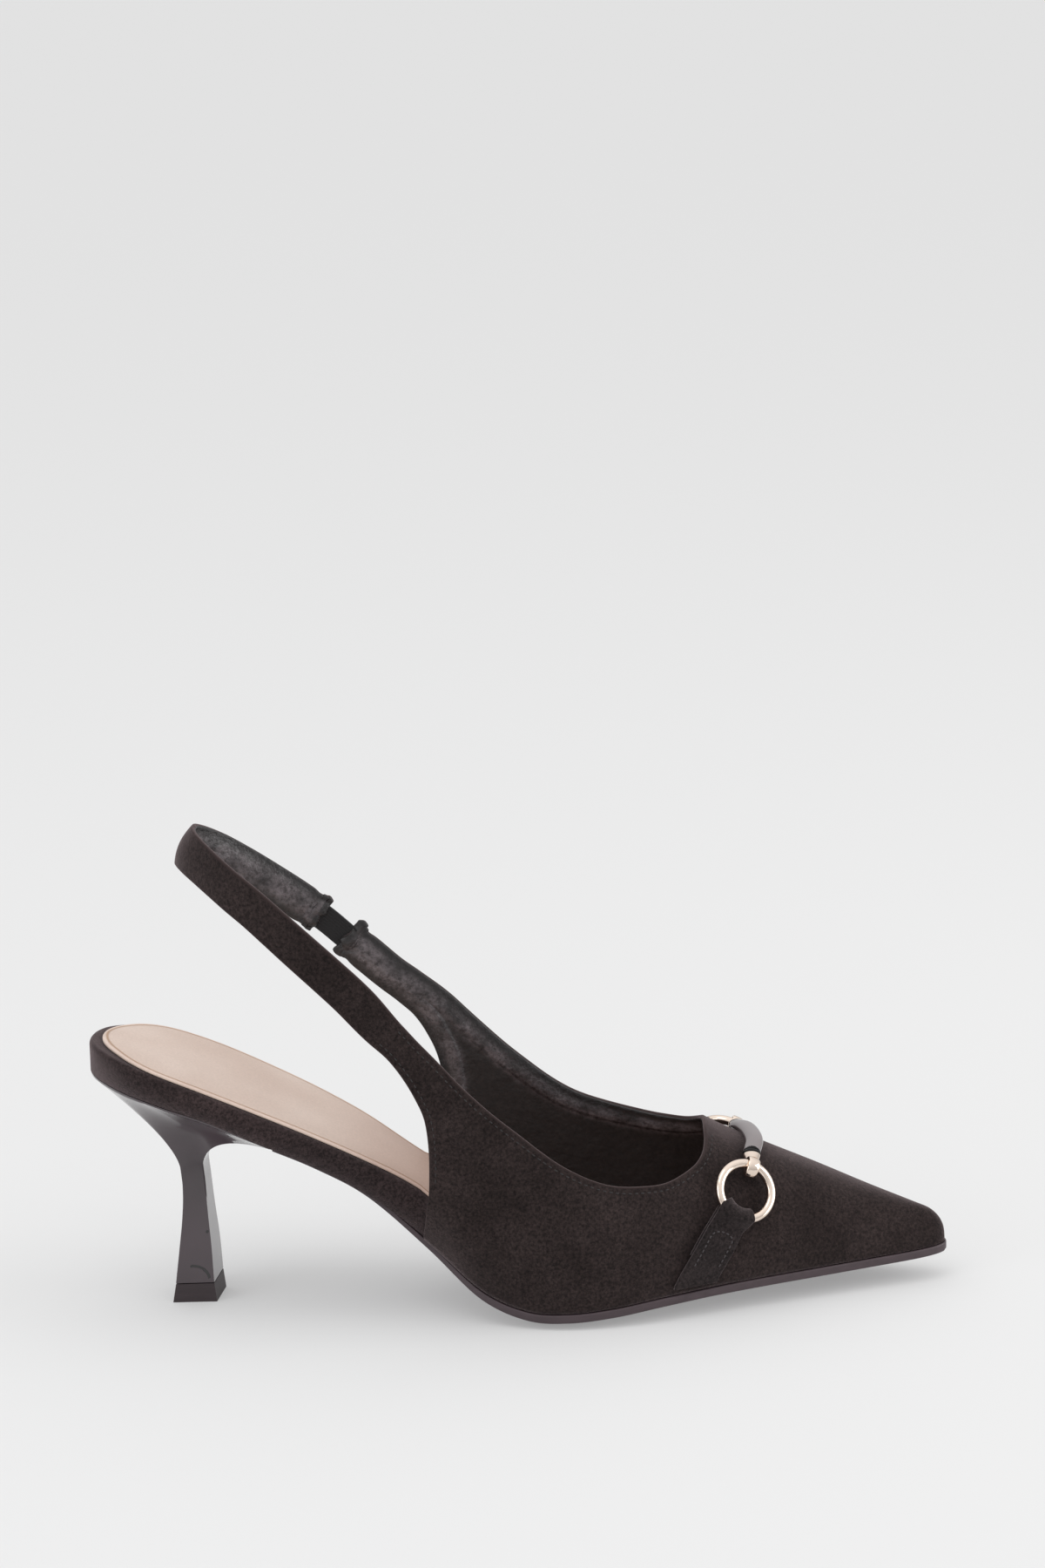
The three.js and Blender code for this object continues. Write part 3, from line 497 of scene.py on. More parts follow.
def make(name, points, faces, materials, slots=None, crease=None, layers=None):
    """A mesh object from points in millimetres. The object stays at the origin, and its mesh
    holds its place. slots gives each face's material and layers a value for each point."""
    mesh = bpy.data.meshes.new(name)
    placed = (np.asarray(points) + shift) / 1000
    mesh.from_pydata(placed.tolist(), [], faces.tolist())
    for material in materials:
        mesh.materials.append(material)
    if slots is not None:
        mesh.polygons.foreach_set("material_index", np.asarray(slots, np.int32))
    for layer, values in (layers or {}).items():
        made = mesh.attributes.new(layer, "FLOAT", "POINT")
        made.data.foreach_set("value", np.asarray(values, np.float32))
    mesh.shade_smooth()
    if crease is not None:
        mesh.set_sharp_from_angle(angle=math.radians(crease))
    mesh.update()
    piece = bpy.data.objects.new(name, mesh)
    bpy.context.scene.collection.objects.link(piece)
    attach(piece, "root")
    return piece


# Finishes


def colour(code):
    """sRGB hex as linear red, green, blue and alpha."""
    parts = [int(code[i:i + 2], 16) / 255 for i in (1, 3, 5)]
    linear = [c / 12.92 if c <= 0.04045 else ((c + 0.055) / 1.055) ** 2.4 for c in parts]
    return (*linear, 1.0)


def node(tree, kind, values=None, **settings):
    """Adds one node; values go to its inputs, as numbers or as another node's output."""
    made = tree.nodes.new("ShaderNode" + kind)
    for key, value in settings.items():
        setattr(made, key, value)
    for key, value in (values or {}).items():
        if isinstance(value, bpy.types.NodeSocket):
            tree.links.new(value, made.inputs[key])
        else:
            made.inputs[key].default_value = value
    return made


def finish(name, roughness, base, **constants):
    """A material with its main shader; returns the material, its tree and the shader."""
    material = bpy.data.materials.new(name)
    material.use_nodes = True
    tree = material.node_tree
    shader = tree.nodes["Principled BSDF"]
    shader.inputs["Base Color"].default_value = colour(base)
    shader.inputs["Roughness"].default_value = roughness
    material.diffuse_color = colour(base)
    for key, value in constants.items():
        shader.inputs[key.replace("_", " ")].default_value = value
    return material, tree, shader


def object_place(tree):
    """The place on the piece that is shaded, in metres."""
    return node(tree, "TexCoord").outputs["Object"]


def maths(tree, how, first, second=0.0):
    """One step of arithmetic on two values."""
    return node(tree, "Math", {0: first, 1: second}, operation=how).outputs[0]


def slope(tree, value, start, end, low=0.0, high=1.0, how="LINEAR"):
    """low up to the start of a value's stretch, high beyond its end, and a slope between."""
    values = {"Value": value, "From Min": start, "From Max": end, "To Min": low, "To Max": high}
    return node(tree, "MapRange", values, interpolation_type=how).outputs["Result"]


def noise(tree, size, detail=2.0, rough=0.5, stretch=None):
    """Noise whose blobs are about size millimetres across, in object space."""
    place = object_place(tree)
    if stretch is not None:
        place = node(tree, "Mapping", {"Vector": place, "Scale": stretch}).outputs["Vector"]
    return node(tree, "TexNoise", {
        "Vector": place, "Scale": 1000 / size, "Detail": detail, "Roughness": rough,
    }).outputs["Fac"]


def ramp(tree, value, low, high, start=0.3, end=0.7):
    """Two colours over a stretch of a value."""
    made = node(tree, "ValToRGB", {"Fac": value})
    made.color_ramp.elements[0].position = start
    made.color_ramp.elements[0].color = low
    made.color_ramp.elements[1].position = end
    made.color_ramp.elements[1].color = high
    return made.outputs["Color"]


def grey(value):
    """A linear grey with alpha."""
    return (value, value, value, 1.0)


def bump(tree, shader, height, distance, strength=1.0, under=None):
    """Relief of a depth in millimetres on the shader."""
    values = {"Height": height, "Distance": distance / 1000, "Strength": strength}
    if under is not None:
        values["Normal"] = under.outputs["Normal"]
    made = node(tree, "Bump", values)
    tree.links.new(made.outputs["Normal"], shader.inputs["Normal"])
    return made


def blend(tree, first, second, share, how="MIX"):
    """Two colours mixed by a share."""
    made = node(tree, "Mix", {0: share, 6: first, 7: second}, data_type="RGBA", blend_type=how)
    return made.outputs[2]


def times(tree, first, second):
    """Two colours multiplied."""
    return blend(tree, first, second, 1.0, "MULTIPLY")


def paint(tree, shader, value, socket="Base Color"):
    """A node's output into one of the shader's inputs."""
    tree.links.new(value, shader.inputs[socket])


def edge_distance(tree):
    """Distance in millimetres from the piece's free edge, as its mesh holds it."""
    return node(tree, "Attribute", attribute_name="edge").outputs["Fac"]


def edge_share(tree, start, end):
    """0 up to a distance from the piece's free edge and 1 beyond another, in millimetres."""
    return slope(tree, edge_distance(tree), start, end, how="SMOOTHSTEP")


def suede_of(name, dark, light, wear_and_painted_light):
    """Goat suede, buffed to a short nap: dull, with faint brushed patches, and flecks where the nap
    stands the other way; cut edges are a little paler from wear. The nap, about 0.1 mm, is drawn at
    0.4 mm."""
    material, tree, shader = finish(
        name, 0.95, dark, Sheen_Weight=0.85, Sheen_Roughness=0.4, Specular_IOR_Level=0.15)
    shader.inputs["Sheen Tint"].default_value = colour("#a8999b")
    patches = noise(tree, 16, 4, 0.6)
    flecks = noise(tree, 0.9, 6, 0.8)
    tone = ramp(tree, patches, colour(dark), colour(light), 0.36, 0.66)
    speckle = ramp(tree, flecks, grey(0.36), grey(1.9), 0.38, 0.64)
    shade = times(tree, tone, speckle)
    if wear_and_painted_light:
        shade = blend(tree, colour(wear_and_painted_light), shade, edge_share(tree, 0.0, 0.45))
    paint(tree, shader, shade)
    coarse = bump(tree, shader, noise(tree, 5, 2), 0.3, 0.35)
    bump(tree, shader, noise(tree, 0.45, 4, 0.75), 0.2, 0.8, coarse)
    return material


suede = suede_of("suede", "#221b1a", "#2d2524", "#332928")
suede_cover = suede_of("suede_cover", "#2a2222", "#362c2c", None)
suede_strap = suede_of("suede_strap", "#1f1b1b", "#2a2424", None)


def lining_finish():
    """Coated lining leather in black-brown. Along the edge, where a tape lies beneath, it is padded
    and creased, and a painted grey highlight lies along the middle of the padding, mottled and
    patchy, dark towards its edges; further in it is dull and darker. The grain is a pebble of about
    0.8 mm."""
    material, tree, shader = finish("lining", 0.4, "#1f1a19", Specular_IOR_Level=0.55)
    inside = edge_share(tree, 6.0, 9.5)
    mottle = noise(tree, 1.6, 6, 0.72)
    # Painted highlight: the pale crest colour below goes on the middle of the padded band, where
    # the padding faces the light; this noise makes it patchy
    wear_and_painted_light = ramp(tree, noise(tree, 9, 3, 0.6), grey(0.25), grey(1.0), 0.34, 0.62)
    valley = ramp(tree, mottle, colour("#131010"), colour("#252021"), 0.36, 0.64)
    crest = ramp(tree, mottle, colour("#322b2c"), colour("#7a7174"), 0.36, 0.7)
    highlight_hump = maths(tree, "SUBTRACT", edge_share(tree, 0.6, 3.6), edge_share(tree, 5.0, 8.5))
    band = blend(tree, valley, crest, maths(tree, "MULTIPLY", highlight_hump, wear_and_painted_light))
    deep = ramp(tree, mottle, colour("#171110"), colour("#281f1d"), 0.36, 0.66)
    paint(tree, shader, blend(tree, band, deep, inside))
    shine = ramp(tree, mottle, grey(0.5), grey(0.26), 0.36, 0.66)
    paint(tree, shader, blend(tree, shine, grey(0.75), inside), "Roughness")
    padded = bump(tree, shader, edge_share(tree, -1.0, 5.0), 1.7, 0.9)
    tape = bump(tree, shader, edge_share(tree, 5.3, 6.5), 0.6, 0.9, padded)
    tape.invert = True
    creased = bump(tree, shader, noise(tree, 5.0, 3, 0.6), 1.1, 0.7, tape)
    bump(tree, shader, noise(tree, 0.8, 3, 0.65), 0.3, 0.7, creased)
    return material


lining = lining_finish()


# Painted shade on the sock: it darkens over this stretch, in shares of the shoe's length, where the
# upper shades it towards the toe
sock_shade_stretch = np.array([0.27, 0.48])
sock_groove = 1.5


def sock_finish():
    """Smooth kid lining leather in nude: close pores of about 0.5 mm and a low sheen, a little
    uneven in tone. It turns a little darker over the stretch set above, in shares of the shoe's
    length, and stays so ahead of it: painted shade, where the upper shades the sock towards the
    toe. A pressed groove follows its paler rim."""
    material, tree, shader = finish("sock_leather", 0.5, "#d2beb2", Specular_IOR_Level=0.4)
    tone = ramp(tree, noise(tree, 30, 3), colour("#c5afa2"), colour("#d1beb2"))
    # Painted shade: the tone darkens towards the toe, where the upper shades the sock
    ahead = node(tree, "SeparateXYZ", {"Vector": object_place(tree)}).outputs["X"]
    start, end = (shift[0] + sock_shade_stretch * shoe_length) / 1000
    wear_and_painted_light = slope(tree, ahead, start, end)
    painted_shade = ramp(tree, wear_and_painted_light, grey(1.0), colour("#cbb4ac"), 0.0, 1.0)
    pores = ramp(tree, noise(tree, 0.7, 3, 0.6), grey(0.92), grey(1.04))
    beside = maths(tree, "SUBTRACT", edge_distance(tree), sock_groove)
    groove = slope(tree, maths(tree, "ABSOLUTE", beside), 0.1, 0.5)
    rolled = blend(tree, grey(1.1), grey(1.0), edge_share(tree, 0.9, sock_groove))
    lined = blend(tree, colour("#d8c3ae"), grey(1.0), groove)
    shade = tone
    for layer in (pores, painted_shade, rolled, lined):
        shade = times(tree, shade, layer)
    paint(tree, shader, shade)
    line = bump(tree, shader, groove, 0.25, 0.8)
    wide = bump(tree, shader, noise(tree, 14, 2), 0.4, 0.3, line)
    bump(tree, shader, noise(tree, 0.6, 3, 0.6), 0.05, 0.5, wide)
    return material


sock_leather = sock_finish()


def sole_finish(name, base, roughness):
    """Moulded sole rubber, plum-brown: a satin skin with fine drag marks along the edge."""
    material, tree, shader = finish(name, roughness, base, Specular_IOR_Level=0.45)
    streak = noise(tree, 1.6, 3, 0.6, (0.15, 1.0, 1.0))
    tone = ramp(tree, streak, grey(0.86), grey(1.12))
    paint(tree, shader, times(tree, colour(base), tone))
    bump(tree, shader, noise(tree, 0.8, 3, 0.6), 0.06, 0.6)
    return material


sole_rubber = sole_finish("sole_rubber", "#43373b", 0.42)
tip_rubber = sole_finish("tip_rubber", "#352b2e", 0.5)


# Marks on the heel's near face, which lies further out than near_depth. Their places are
# measured ahead of the tip's back and above the top piece. The scratch is the part of a
# circle that lies within scratch_reach of scratch_place
scratch_middle = (5.6, 0.9)
scratch_radius = 4.6
scratch_half = 0.3
scratch_place = (8.4, 5.0)
scratch_reach = 3.9
chip_middle = (9.8, 15.4)
chip_radius = 0.55
mark_blur = 0.15
mark_ragged = 0.35
near_depth = 2.0


def heel_finish():
    """Lacquered heel: a plum-brown coat over moulded plastic, glossy, with slight waves. Near
    the tip it has a curved scratch and a chip, where the dark plastic shows."""
    material, tree, shader = finish(
        "heel_lacquer", 0.3, "#38282f", Specular_IOR_Level=0.5, Coat_Weight=1.0,
        Coat_Roughness=0.1)
    tone = ramp(tree, noise(tree, 18, 2), colour("#302228"), colour("#3c2d34"))
    place = object_place(tree)
    ragged = maths(tree, "MULTIPLY", noise(tree, 0.9, 2), mark_ragged)

    def off(mark):
        """Distance in millimetres from a mark's middle, seen from the side, a little ragged."""
        flat = node(tree, "Mapping", {"Vector": place, "Scale": (1000, 0, 1000)}).outputs[0]
        point = (shift[0] + stem_setback + mark[0], 0, top_piece_height + mark[1])
        gap = node(tree, "VectorMath", {0: flat, 1: point}, operation="DISTANCE")
        return maths(tree, "ADD", gap.outputs["Value"], ragged)

    def within(value, reach):
        """1 up to a reach and 0 just beyond it."""
        return slope(tree, value, reach, reach + mark_blur, 1.0, 0.0)

    bend = maths(tree, "SUBTRACT", off(scratch_middle), scratch_radius)
    bend = within(maths(tree, "ABSOLUTE", bend), scratch_half)
    arc = maths(tree, "MULTIPLY", bend, within(off(scratch_place), scratch_reach))
    marks = maths(tree, "MAXIMUM", arc, within(off(chip_middle), chip_radius))
    side = node(tree, "SeparateXYZ", {"Vector": place}).outputs["Y"]
    near = maths(tree, "LESS_THAN", side, (shift[1] - near_depth) / 1000)
    marks = maths(tree, "MULTIPLY", marks, near)
    paint(tree, shader, blend(tree, tone, colour("#0c0909"), marks))
    paint(tree, shader, blend(tree, grey(0.3), grey(0.7), marks), "Roughness")
    dents = bump(tree, shader, marks, 0.3, 0.8)
    dents.invert = True
    bump(tree, shader, noise(tree, 7, 2), 0.15, 0.25, dents)
    return material


heel_lacquer = heel_finish()


def gold_finish():
    """Pale gold plate over cast zinc: bright, with the faint ripple of hand polishing."""
    material, tree, shader = finish("pale_gold", 0.16, "#ead9cb", Metallic=1.0)
    rough = ramp(tree, noise(tree, 2.5, 3), grey(0.05), grey(0.16))
    paint(tree, shader, rough, "Roughness")
    bump(tree, shader, noise(tree, 2.2, 2), 0.05, 0.4)
    return material


pale_gold = gold_finish()


def sleeve_finish(name, base, gloss):
    """Vinyl tube, hardly marked: a tight clear gloss, or the duller collar at its ends."""
    material, tree, shader = finish(
        name, 0.3, base, Specular_IOR_Level=gloss, Coat_Weight=gloss)
    bump(tree, shader, noise(tree, 3, 2), 0.05, 0.3)
    return material


# The tube is glossy black vinyl; its grey base colour is a painted reflection, the broad sheen of
# the bright room on its gloss
vinyl_painted_sheen = sleeve_finish("vinyl_painted_sheen", "#6b6061", 1.0)
black_vinyl = sleeve_finish("black_vinyl", "#0e0c0d", 0.1)


def elastic_finish():
    """Woven elastic, matt black, of covered rubber threads side by side."""
    material, tree, shader = finish("elastic_weave", 0.9, "#161415", Sheen_Weight=0.15)
    bump(tree, shader, noise(tree, 0.5, 2), 0.08, 0.8)
    return material


elastic_weave = elastic_finish()


def thread_finish(name, base):
    """Bonded polyester thread, dark brown, with a slight sheen."""
    material, tree, shader = finish(name, 0.6, base, Sheen_Weight=0.1)
    bump(tree, shader, noise(tree, 0.3, 2), 0.03, 0.6)
    return material


thread = thread_finish("thread", "#1d1819")
keeper_thread = thread_finish("keeper_thread", "#3b3638")


# Upper: vamp, quarters and the strap in one wall

rib_cells = 46
rear_rows = 30
side_rows = 84
toe_rows = 64
arm_rows = 110
end_rows = 60
bridge_rows = 40

# Where the rib from the throat meets the sole, as a share of shoe_length, and the place among
# the topline's points where the rib from the quarter's lower corner ends
throat_foot = 0.775
corner_head = 2.3


def rib(side, foot_station, foot_angle, head_station, head_angle):
    """Rows of points up the last, each evenly from its foot to its head."""
    v = spread(rib_cells)
    stations = mix(np.asarray(foot_station)[:, None], np.asarray(head_station)[:, None], v)
    angles = mix(np.asarray(foot_angle)[:, None], np.asarray(head_angle)[:, None], v)
    return last(stations, angles, side)


def body_rows(side):
    """Ribs of one side: from the rear edge, then from the sole, up to the topline, and last
    up to the ridge of the toe."""
    topline, rear = toplines[side], rear_edges[side]

    def top(h):
        """Station and angle of the topline at a place among its points."""
        return station_at(through(topline["at"], h)), np.minimum(90, through(topline["angle"], h))

    w = spread(rear_rows)
    edge = w * (len(rear["at"]) - 1)
    foot_angle = np.maximum(0, through(rear["angle"], edge))
    behind = rib(side, station_at(through(rear["at"], edge)), foot_angle, *top(w * corner_head))
    corner = station_at(rear["at"][-1])
    throat = station_at(topline["at"][-1])
    foot = station_at(throat_foot)
    w = spread(side_rows)[1:]
    head = mix(corner_head, len(topline["at"]) - 1, w)
    beside = rib(side, mix(corner, foot, w), 0 * w, *top(head))
    w = spread(toe_rows)[1:]
    ahead = rib(side, mix(foot, end_station, w), 0 * w, mix(throat, end_station, w), 0 * w + 90)
    return np.concatenate([behind, beside, ahead])


# The strap leans out by these angles at the quarter and at the back of the heel; its
# directions are taken over arm_step, a share of the arm
wall_tilt = 6.0
back_tilt = 27.0
arm_step = 0.004
strap_back = np.array([strap_reach, 0.0, strap_height])


class Arm:
    """One arm of the strap, from the middle of the quarter's end to the back of the heel."""

    def __init__(self, side, start):
        """Keeps the arm's length up to each of a few hundred shares of the way."""
        self.side = side
        self.start = start
        self.walk = spread(400)
        self.lengths = way_along(self.place(self.walk))

    def place(self, a):
        """The middle line at a share of the way, as a smooth curve through the arm's rows."""
        rows = arms[self.side]
        t = np.asarray(a, float) * (len(rows["run"]) - 1)
        x = through(rows["run"], t, None, rows["run"][-2])
        y = through(rows["across"], t, None, 2 - rows["across"][-2])
        z = through(rows["rise"], t, None, rows["rise"][-2])
        return self.start + (strap_back - self.start) * np.stack([x, y, z], -1)

    def share_at(self, distance):
        """The share of the way at a distance along the arm."""
        return float(np.interp(distance, self.lengths, self.walk))

    def across(self, a, width, cells, outward=0.0):
        """Points across the strap, from its lower to its upper edge; it leans outwards and
        cups a little more the further it goes round the heel."""
        rows = arms[self.side]
        a = np.atleast_1d(np.asarray(a, float))
        beyond, short = np.minimum(1, a + arm_step), np.maximum(0, a - arm_step)
        along = self.place(beyond) - self.place(short)
        along[a >= 1, 0] = 0
        along[a >= 1, 2] = 0
        behind = through(rows["across"], a * (len(rows["run"]) - 1)) ** 2
        tilt = np.radians(mix(wall_tilt, back_tilt, behind))
        flat = np.stack([self.side * along[:, 1], -self.side * along[:, 0], 0 * a], -1)
        facing = unit(flat) * np.cos(tilt)[:, None]
        facing[:, 2] += np.sin(tilt)
        up = unit(np.cross(facing, along))
        up[up[:, 2] < 0] *= -1
        wide = width * mix(1, strap_back_width / strap_width, behind)
        v = spread(cells, -0.5, 0.5)
        offset = outward + strap_camber * behind[:, None] * (1 - 4 * v * v)
        rise = up[:, None] * (v * wide[:, None])[..., None]
        return self.place(a)[:, None] + rise + facing[:, None] * offset[..., None]


bodies = {side: body_rows(side) for side in (-1, 1)}
strap_arms = {s: Arm(s, (bodies[s][0, 0] + bodies[s][0, -1]) / 2) for s in (-1, 1)}
stub_share = strap_arms[1].share_at(stub_length)
strap_share = strap_arms[1].share_at(stub_length + elastic_length)
quarter_start = rear_edges[-1]["at"][-1] * shoe_length


def grid_normals(rows, toward):
    """Normals of a grid of rows, turned to the side where toward is positive."""
    down = np.gradient(rows, axis=0)
    across = np.gradient(rows, axis=1)
    found = unit(np.cross(down, across))
    return found * toward


# The strap's cut end has finer rows over fine_length; below bridge_shares the arms run over
# into the quarters
fine_length = 12.0
fine_share = strap_arms[1].share_at(stub_length + elastic_length + fine_length)
bridge_shares = {-1: 0.10, 1: 0.55 * stub_share}


def bridge(side):
    """Rows between the strap and the quarter: cubics that keep the slope at both ends."""
    arm, body, start = strap_arms[side], bodies[side], bridge_shares[side]
    far, further = arm.across([start, start + arm_step], strap_width, rib_cells)
    reach = np.linalg.norm(far - body[0], axis=-1, keepdims=True)
    body_slope = unit(body[0] - body[1]) * reach
    arm_slope = unit(further - far) * reach
    s = spread(bridge_rows, 1, 0)[1:-1, None, None]
    square, cube = s ** 2, s ** 3
    from_body = body[0] * (2 * cube - 3 * square + 1) + body_slope * (cube - 2 * square + s)
    return from_body + far * (3 * square - 2 * cube) + arm_slope * (cube - square)


# Middle and width of the knob, the pinch, the two seams and the ear at the strap's cut end,
# in millimetres from the cut, and how far each of them changes the strap
knob_form = (1.2, 1.3)
pinch_form = (4.2, 1.5)
seam_forms = ((2.3, 0.35), (3.4, 0.35))
ear_form = (1.5, 1.6)
knob_wide = 0.07
pinch_narrow = 0.06
crease_depth = 0.28
crease_fade = 4.2
seam_depth = 0.3


def gather(rows, ear):
    """The strap's cut end, which is the first row: a knob, a pinch behind it where the
    elastic is sewn in, and creases that run out from there and fade along the strap. An ear
    of the given height stands up at the knob's upper corner."""
    middle = rows.mean(axis=1, keepdims=True)
    d = np.linalg.norm(middle - middle[:1], axis=-1)
    v = spread(rib_cells, -1, 1)
    wide = 1 + knob_wide * bell(d, *knob_form) - pinch_narrow * bell(d, *pinch_form)
    out = grid_normals(rows, 1)
    crease = np.sin(v * 7 + 1.7 * np.sin(0.8 * d) + 0.6) * (1 - v ** 4)
    seam = bell(d, *seam_forms[0]) + 0.7 * bell(d, *seam_forms[1])
    lift = crease_depth * np.exp(-d / crease_fade) * crease - seam_depth * seam
    raised = ear * bell(d, *ear_form) * smooth(-0.1, 1, v)
    upward = unit(rows[:, -1:] - rows[:, :1]) * raised[..., None]
    return middle + (rows - middle) * wide[..., None] + out * lift[..., None] + upward


def upper_sheet():
    """The outer face of the upper: rows round the strap and down the outer side, and rows
    from the elastic down the inner side."""
    medial, lateral = strap_arms[1], strap_arms[-1]
    shares = np.concatenate([
        spread(end_rows, strap_share, fine_share), spread(arm_rows, fine_share, 1)[1:]])
    far = gather(medial.across(shares, strap_width, rib_cells), 0.4)
    near = lateral.across(spread(arm_rows, 1, bridge_shares[-1])[1:], strap_width, rib_cells)
    stub_shares = spread(end_rows, stub_share, bridge_shares[1])
    stub = medial.across(stub_shares, strap_width, rib_cells)
    long_rows = np.concatenate([far, near, bridge(-1), bodies[-1]])
    short_rows = np.concatenate([gather(stub, 1.2), bridge(1), bodies[1]])
    outer = long_rows.reshape(-1, 3), grid_faces(len(long_rows), rib_cells + 1)
    inner = short_rows.reshape(-1, 3), grid_faces(len(short_rows), rib_cells + 1, True)
    return long_rows, short_rows, weld(*join(outer, inner))


# The wall's swelling and pinch at a cut end: how much, and their middle and width. They apply
# where y is beyond inner_arm; a point lies on the sole when it is nearer than sole_touch
knob_wall = 0.42
knob_wall_form = (1.0, 1.6)
pinch_wall = 0.18
pinch_wall_form = (4.6, 1.2)
inner_arm = 10.0
sole_touch = 0.02


def wall_at(points):
    """Thickness of the wall: the strap swells to a knob at its two cut ends, behind a pinch
    where it is sewn to the elastic."""
    ends = strap_arms[1].place(np.array([strap_share, stub_share]))
    apart = np.linalg.norm(points[:, None] - ends[None], axis=-1).min(axis=1)
    far_side = points[:, 1] > inner_arm
    knob = knob_wall * bell(apart, *knob_wall_form)
    pinch = pinch_wall * bell(apart, *pinch_wall_form)
    return upper_wall * (1 + np.where(far_side, knob - pinch, 0))


def on_sole(points):
    """Which points lie on the sole's edge and ahead of the quarter's rear end."""
    low = points[:, 2] - edge_height_at(points[:, 0]) < sole_touch
    return low & (points[:, 0] > quarter_start - 1)


long_rows, short_rows, sheet = upper_sheet()
wall_points, wall_faces, is_lining, from_edge = shell(*sheet, wall_at, edge_roll, on_sole)
upper = make("upper_wall", wall_points, wall_faces, [suede, lining], is_lining,
             layers={"edge": from_edge})
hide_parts("upper")


# Stitches


stitch_steps = 6
stitch_dip = 0.45
stitch_lift = 0.04


def stitch_form():
    """One stitch, 1 long and 1 wide: an oval that dips at both ends."""
    u = spread(stitch_steps, -1, 1)
    a = spread(stitch_steps, 0, 2 * math.pi)
    girth = np.sqrt(np.maximum(0, 1 - u ** 4)) / 2
    x = np.repeat(u[:, None] / 2, stitch_steps + 1, axis=1)
    y = girth[:, None] * np.cos(a)
    z = girth[:, None] * np.sin(a) - stitch_dip * (u ** 2)[:, None]
    return outward(weld(np.stack([x, y, z], -1).reshape(-1, 3), grid_faces(*x.shape)))


def stitches(name, path, normals, yarn, pitch=1.9, length=1.3, width=0.34):
    """Stitches along a path on a surface, one each pitch, half sunk in it."""
    way = way_along(path)
    at = np.arange(pitch / 2, way[-1], pitch)
    centre = point_at(at, way, path)
    out = unit(point_at(at, way, normals))
    along = unit(point_at(at + 0.3, way, path) - point_at(at - 0.3, way, path))
    side = unit(np.cross(out, along))
    form, faces = stitch_form()
    points = (
        centre[:, None]
        + along[:, None] * (form[:, 0] * length)[None, :, None]
        + side[:, None] * (form[:, 1] * width)[None, :, None]
        + out[:, None] * (form[:, 2] * width + stitch_lift)[None, :, None]
    )
    every = (faces[None] + (np.arange(len(at)) * len(form))[:, None, None]).reshape(-1, 3)
    return make(name, points.reshape(-1, 3), every, [yarn])


def line_beside(rows, normals, inset, from_head):
    """The points a fixed distance inside the free edge, one on each row."""
    order = rows[:, ::-1] if from_head else rows
    turned = normals[:, ::-1] if from_head else normals
    edge = order[:, 0]
    dense = point_at(spread(2000), spread(len(edge) - 1), edge)
    near = order[:, : order.shape[1] // 2]
    gaps = nearest(near.reshape(-1, 3), dense).reshape(near.shape[:2])
    past = np.argmax(gaps > inset, axis=1).clip(1)
    rows_i = np.arange(len(order))
    g0, g1 = gaps[rows_i, past - 1], gaps[rows_i, past]
    share = np.clip((inset - g0) / np.maximum(g1 - g0, 1e-9), 0, 1)[:, None]
    path = mix(near[rows_i, past - 1], near[rows_i, past], share)
    return path, turned[rows_i, past]


stitch_inset = 1.6
body_start = {-1: len(long_rows) - len(bodies[-1]), 1: len(short_rows) - len(bodies[1])}
for side, rows, word in ((-1, long_rows, "lateral"), (1, short_rows, "medial")):
    turned = grid_normals(rows, 1 if side < 0 else -1)
    first = body_start[side]
    until = first + rear_rows + side_rows
    top_path, top_out = line_beside(rows[first:until], turned[first:until], stitch_inset, True)
    stitches(f"stitches_topline_{word}", top_path, top_out, thread)
    until = first + rear_rows + 1
    low_path, low_out = line_beside(rows[first:until], turned[first:until], stitch_inset, False)
    stitches(f"stitches_rear_{word}", low_path, low_out, thread)


# Footbed, sock and outsole


station_step = 0.01


def edge_point(t, side, inset):
    """A point of the outline at station t, moved squarely inwards by an inset."""
    t = np.asarray(t, float)
    edge = edge_names[side]

    def place(u):
        """The outline's point at station u."""
        return section("at", u) * shoe_length, section(edge, u) * ball_width

    x0, y0 = place(np.maximum(0, t - station_step))
    x1, y1 = place(np.minimum(end_station, t + station_step))
    dx, dy = x1 - x0, y1 - y0
    dx = np.where((t <= 0) | (t >= end_station), 0, dx)
    dy = np.where(t <= 0, side, np.where(t >= end_station, -side, dy))
    long = np.hypot(dx, dy)
    x, y = place(t)
    return x + side * dy / long * inset, y - side * dx / long * inset


def wall_spread(t, side, height):
    """How far the wall stands outside the outline at a height above the sole's edge."""
    edge = edge_names[side]
    ridge = vamp_height * section("rise", t)
    x = section("at", t) * shoe_length
    inside = (height > 0) & (ridge > height) & (x >= quarter_start)
    angle = np.degrees(np.arcsin(np.clip(height / np.maximum(ridge, 1e-6), 0, 1)))
    out = last(t, angle, side)[..., 1] - section(edge, t) * ball_width
    return np.where(inside, out * smooth(quarter_start - 1, quarter_start + 6, x), 0)


slab_cells = 24


def slab(stations, inset, loop, height, rearmost=-shoe_length):
    """A flat body: each section is a loop of (across, further inset, up) places; across runs
    from -1 at the outer edge to 1 at the inner one, and height gives z. No point lies
    behind rearmost."""
    across, further, up = (np.array(c, float) for c in zip(*loop))
    t = stations[:, None] + 0 * across
    ends = {}
    for side in (-1, 1):
        x, y = edge_point(t, side, inset(stations)[:, None] + further)
        lifted = height(x, np.ones_like(x), up + 0 * x) - edge_height_at(x)
        ends[side] = x, y + wall_spread(t, side, lifted)
    share = (across + 1) / 2
    x = np.maximum(mix(ends[-1][0], ends[1][0], share), rearmost)
    y = mix(ends[-1][1], ends[1][1], share)
    z = height(x, across + 0 * x, up + 0 * x)
    return np.stack([x, y, z], -1)


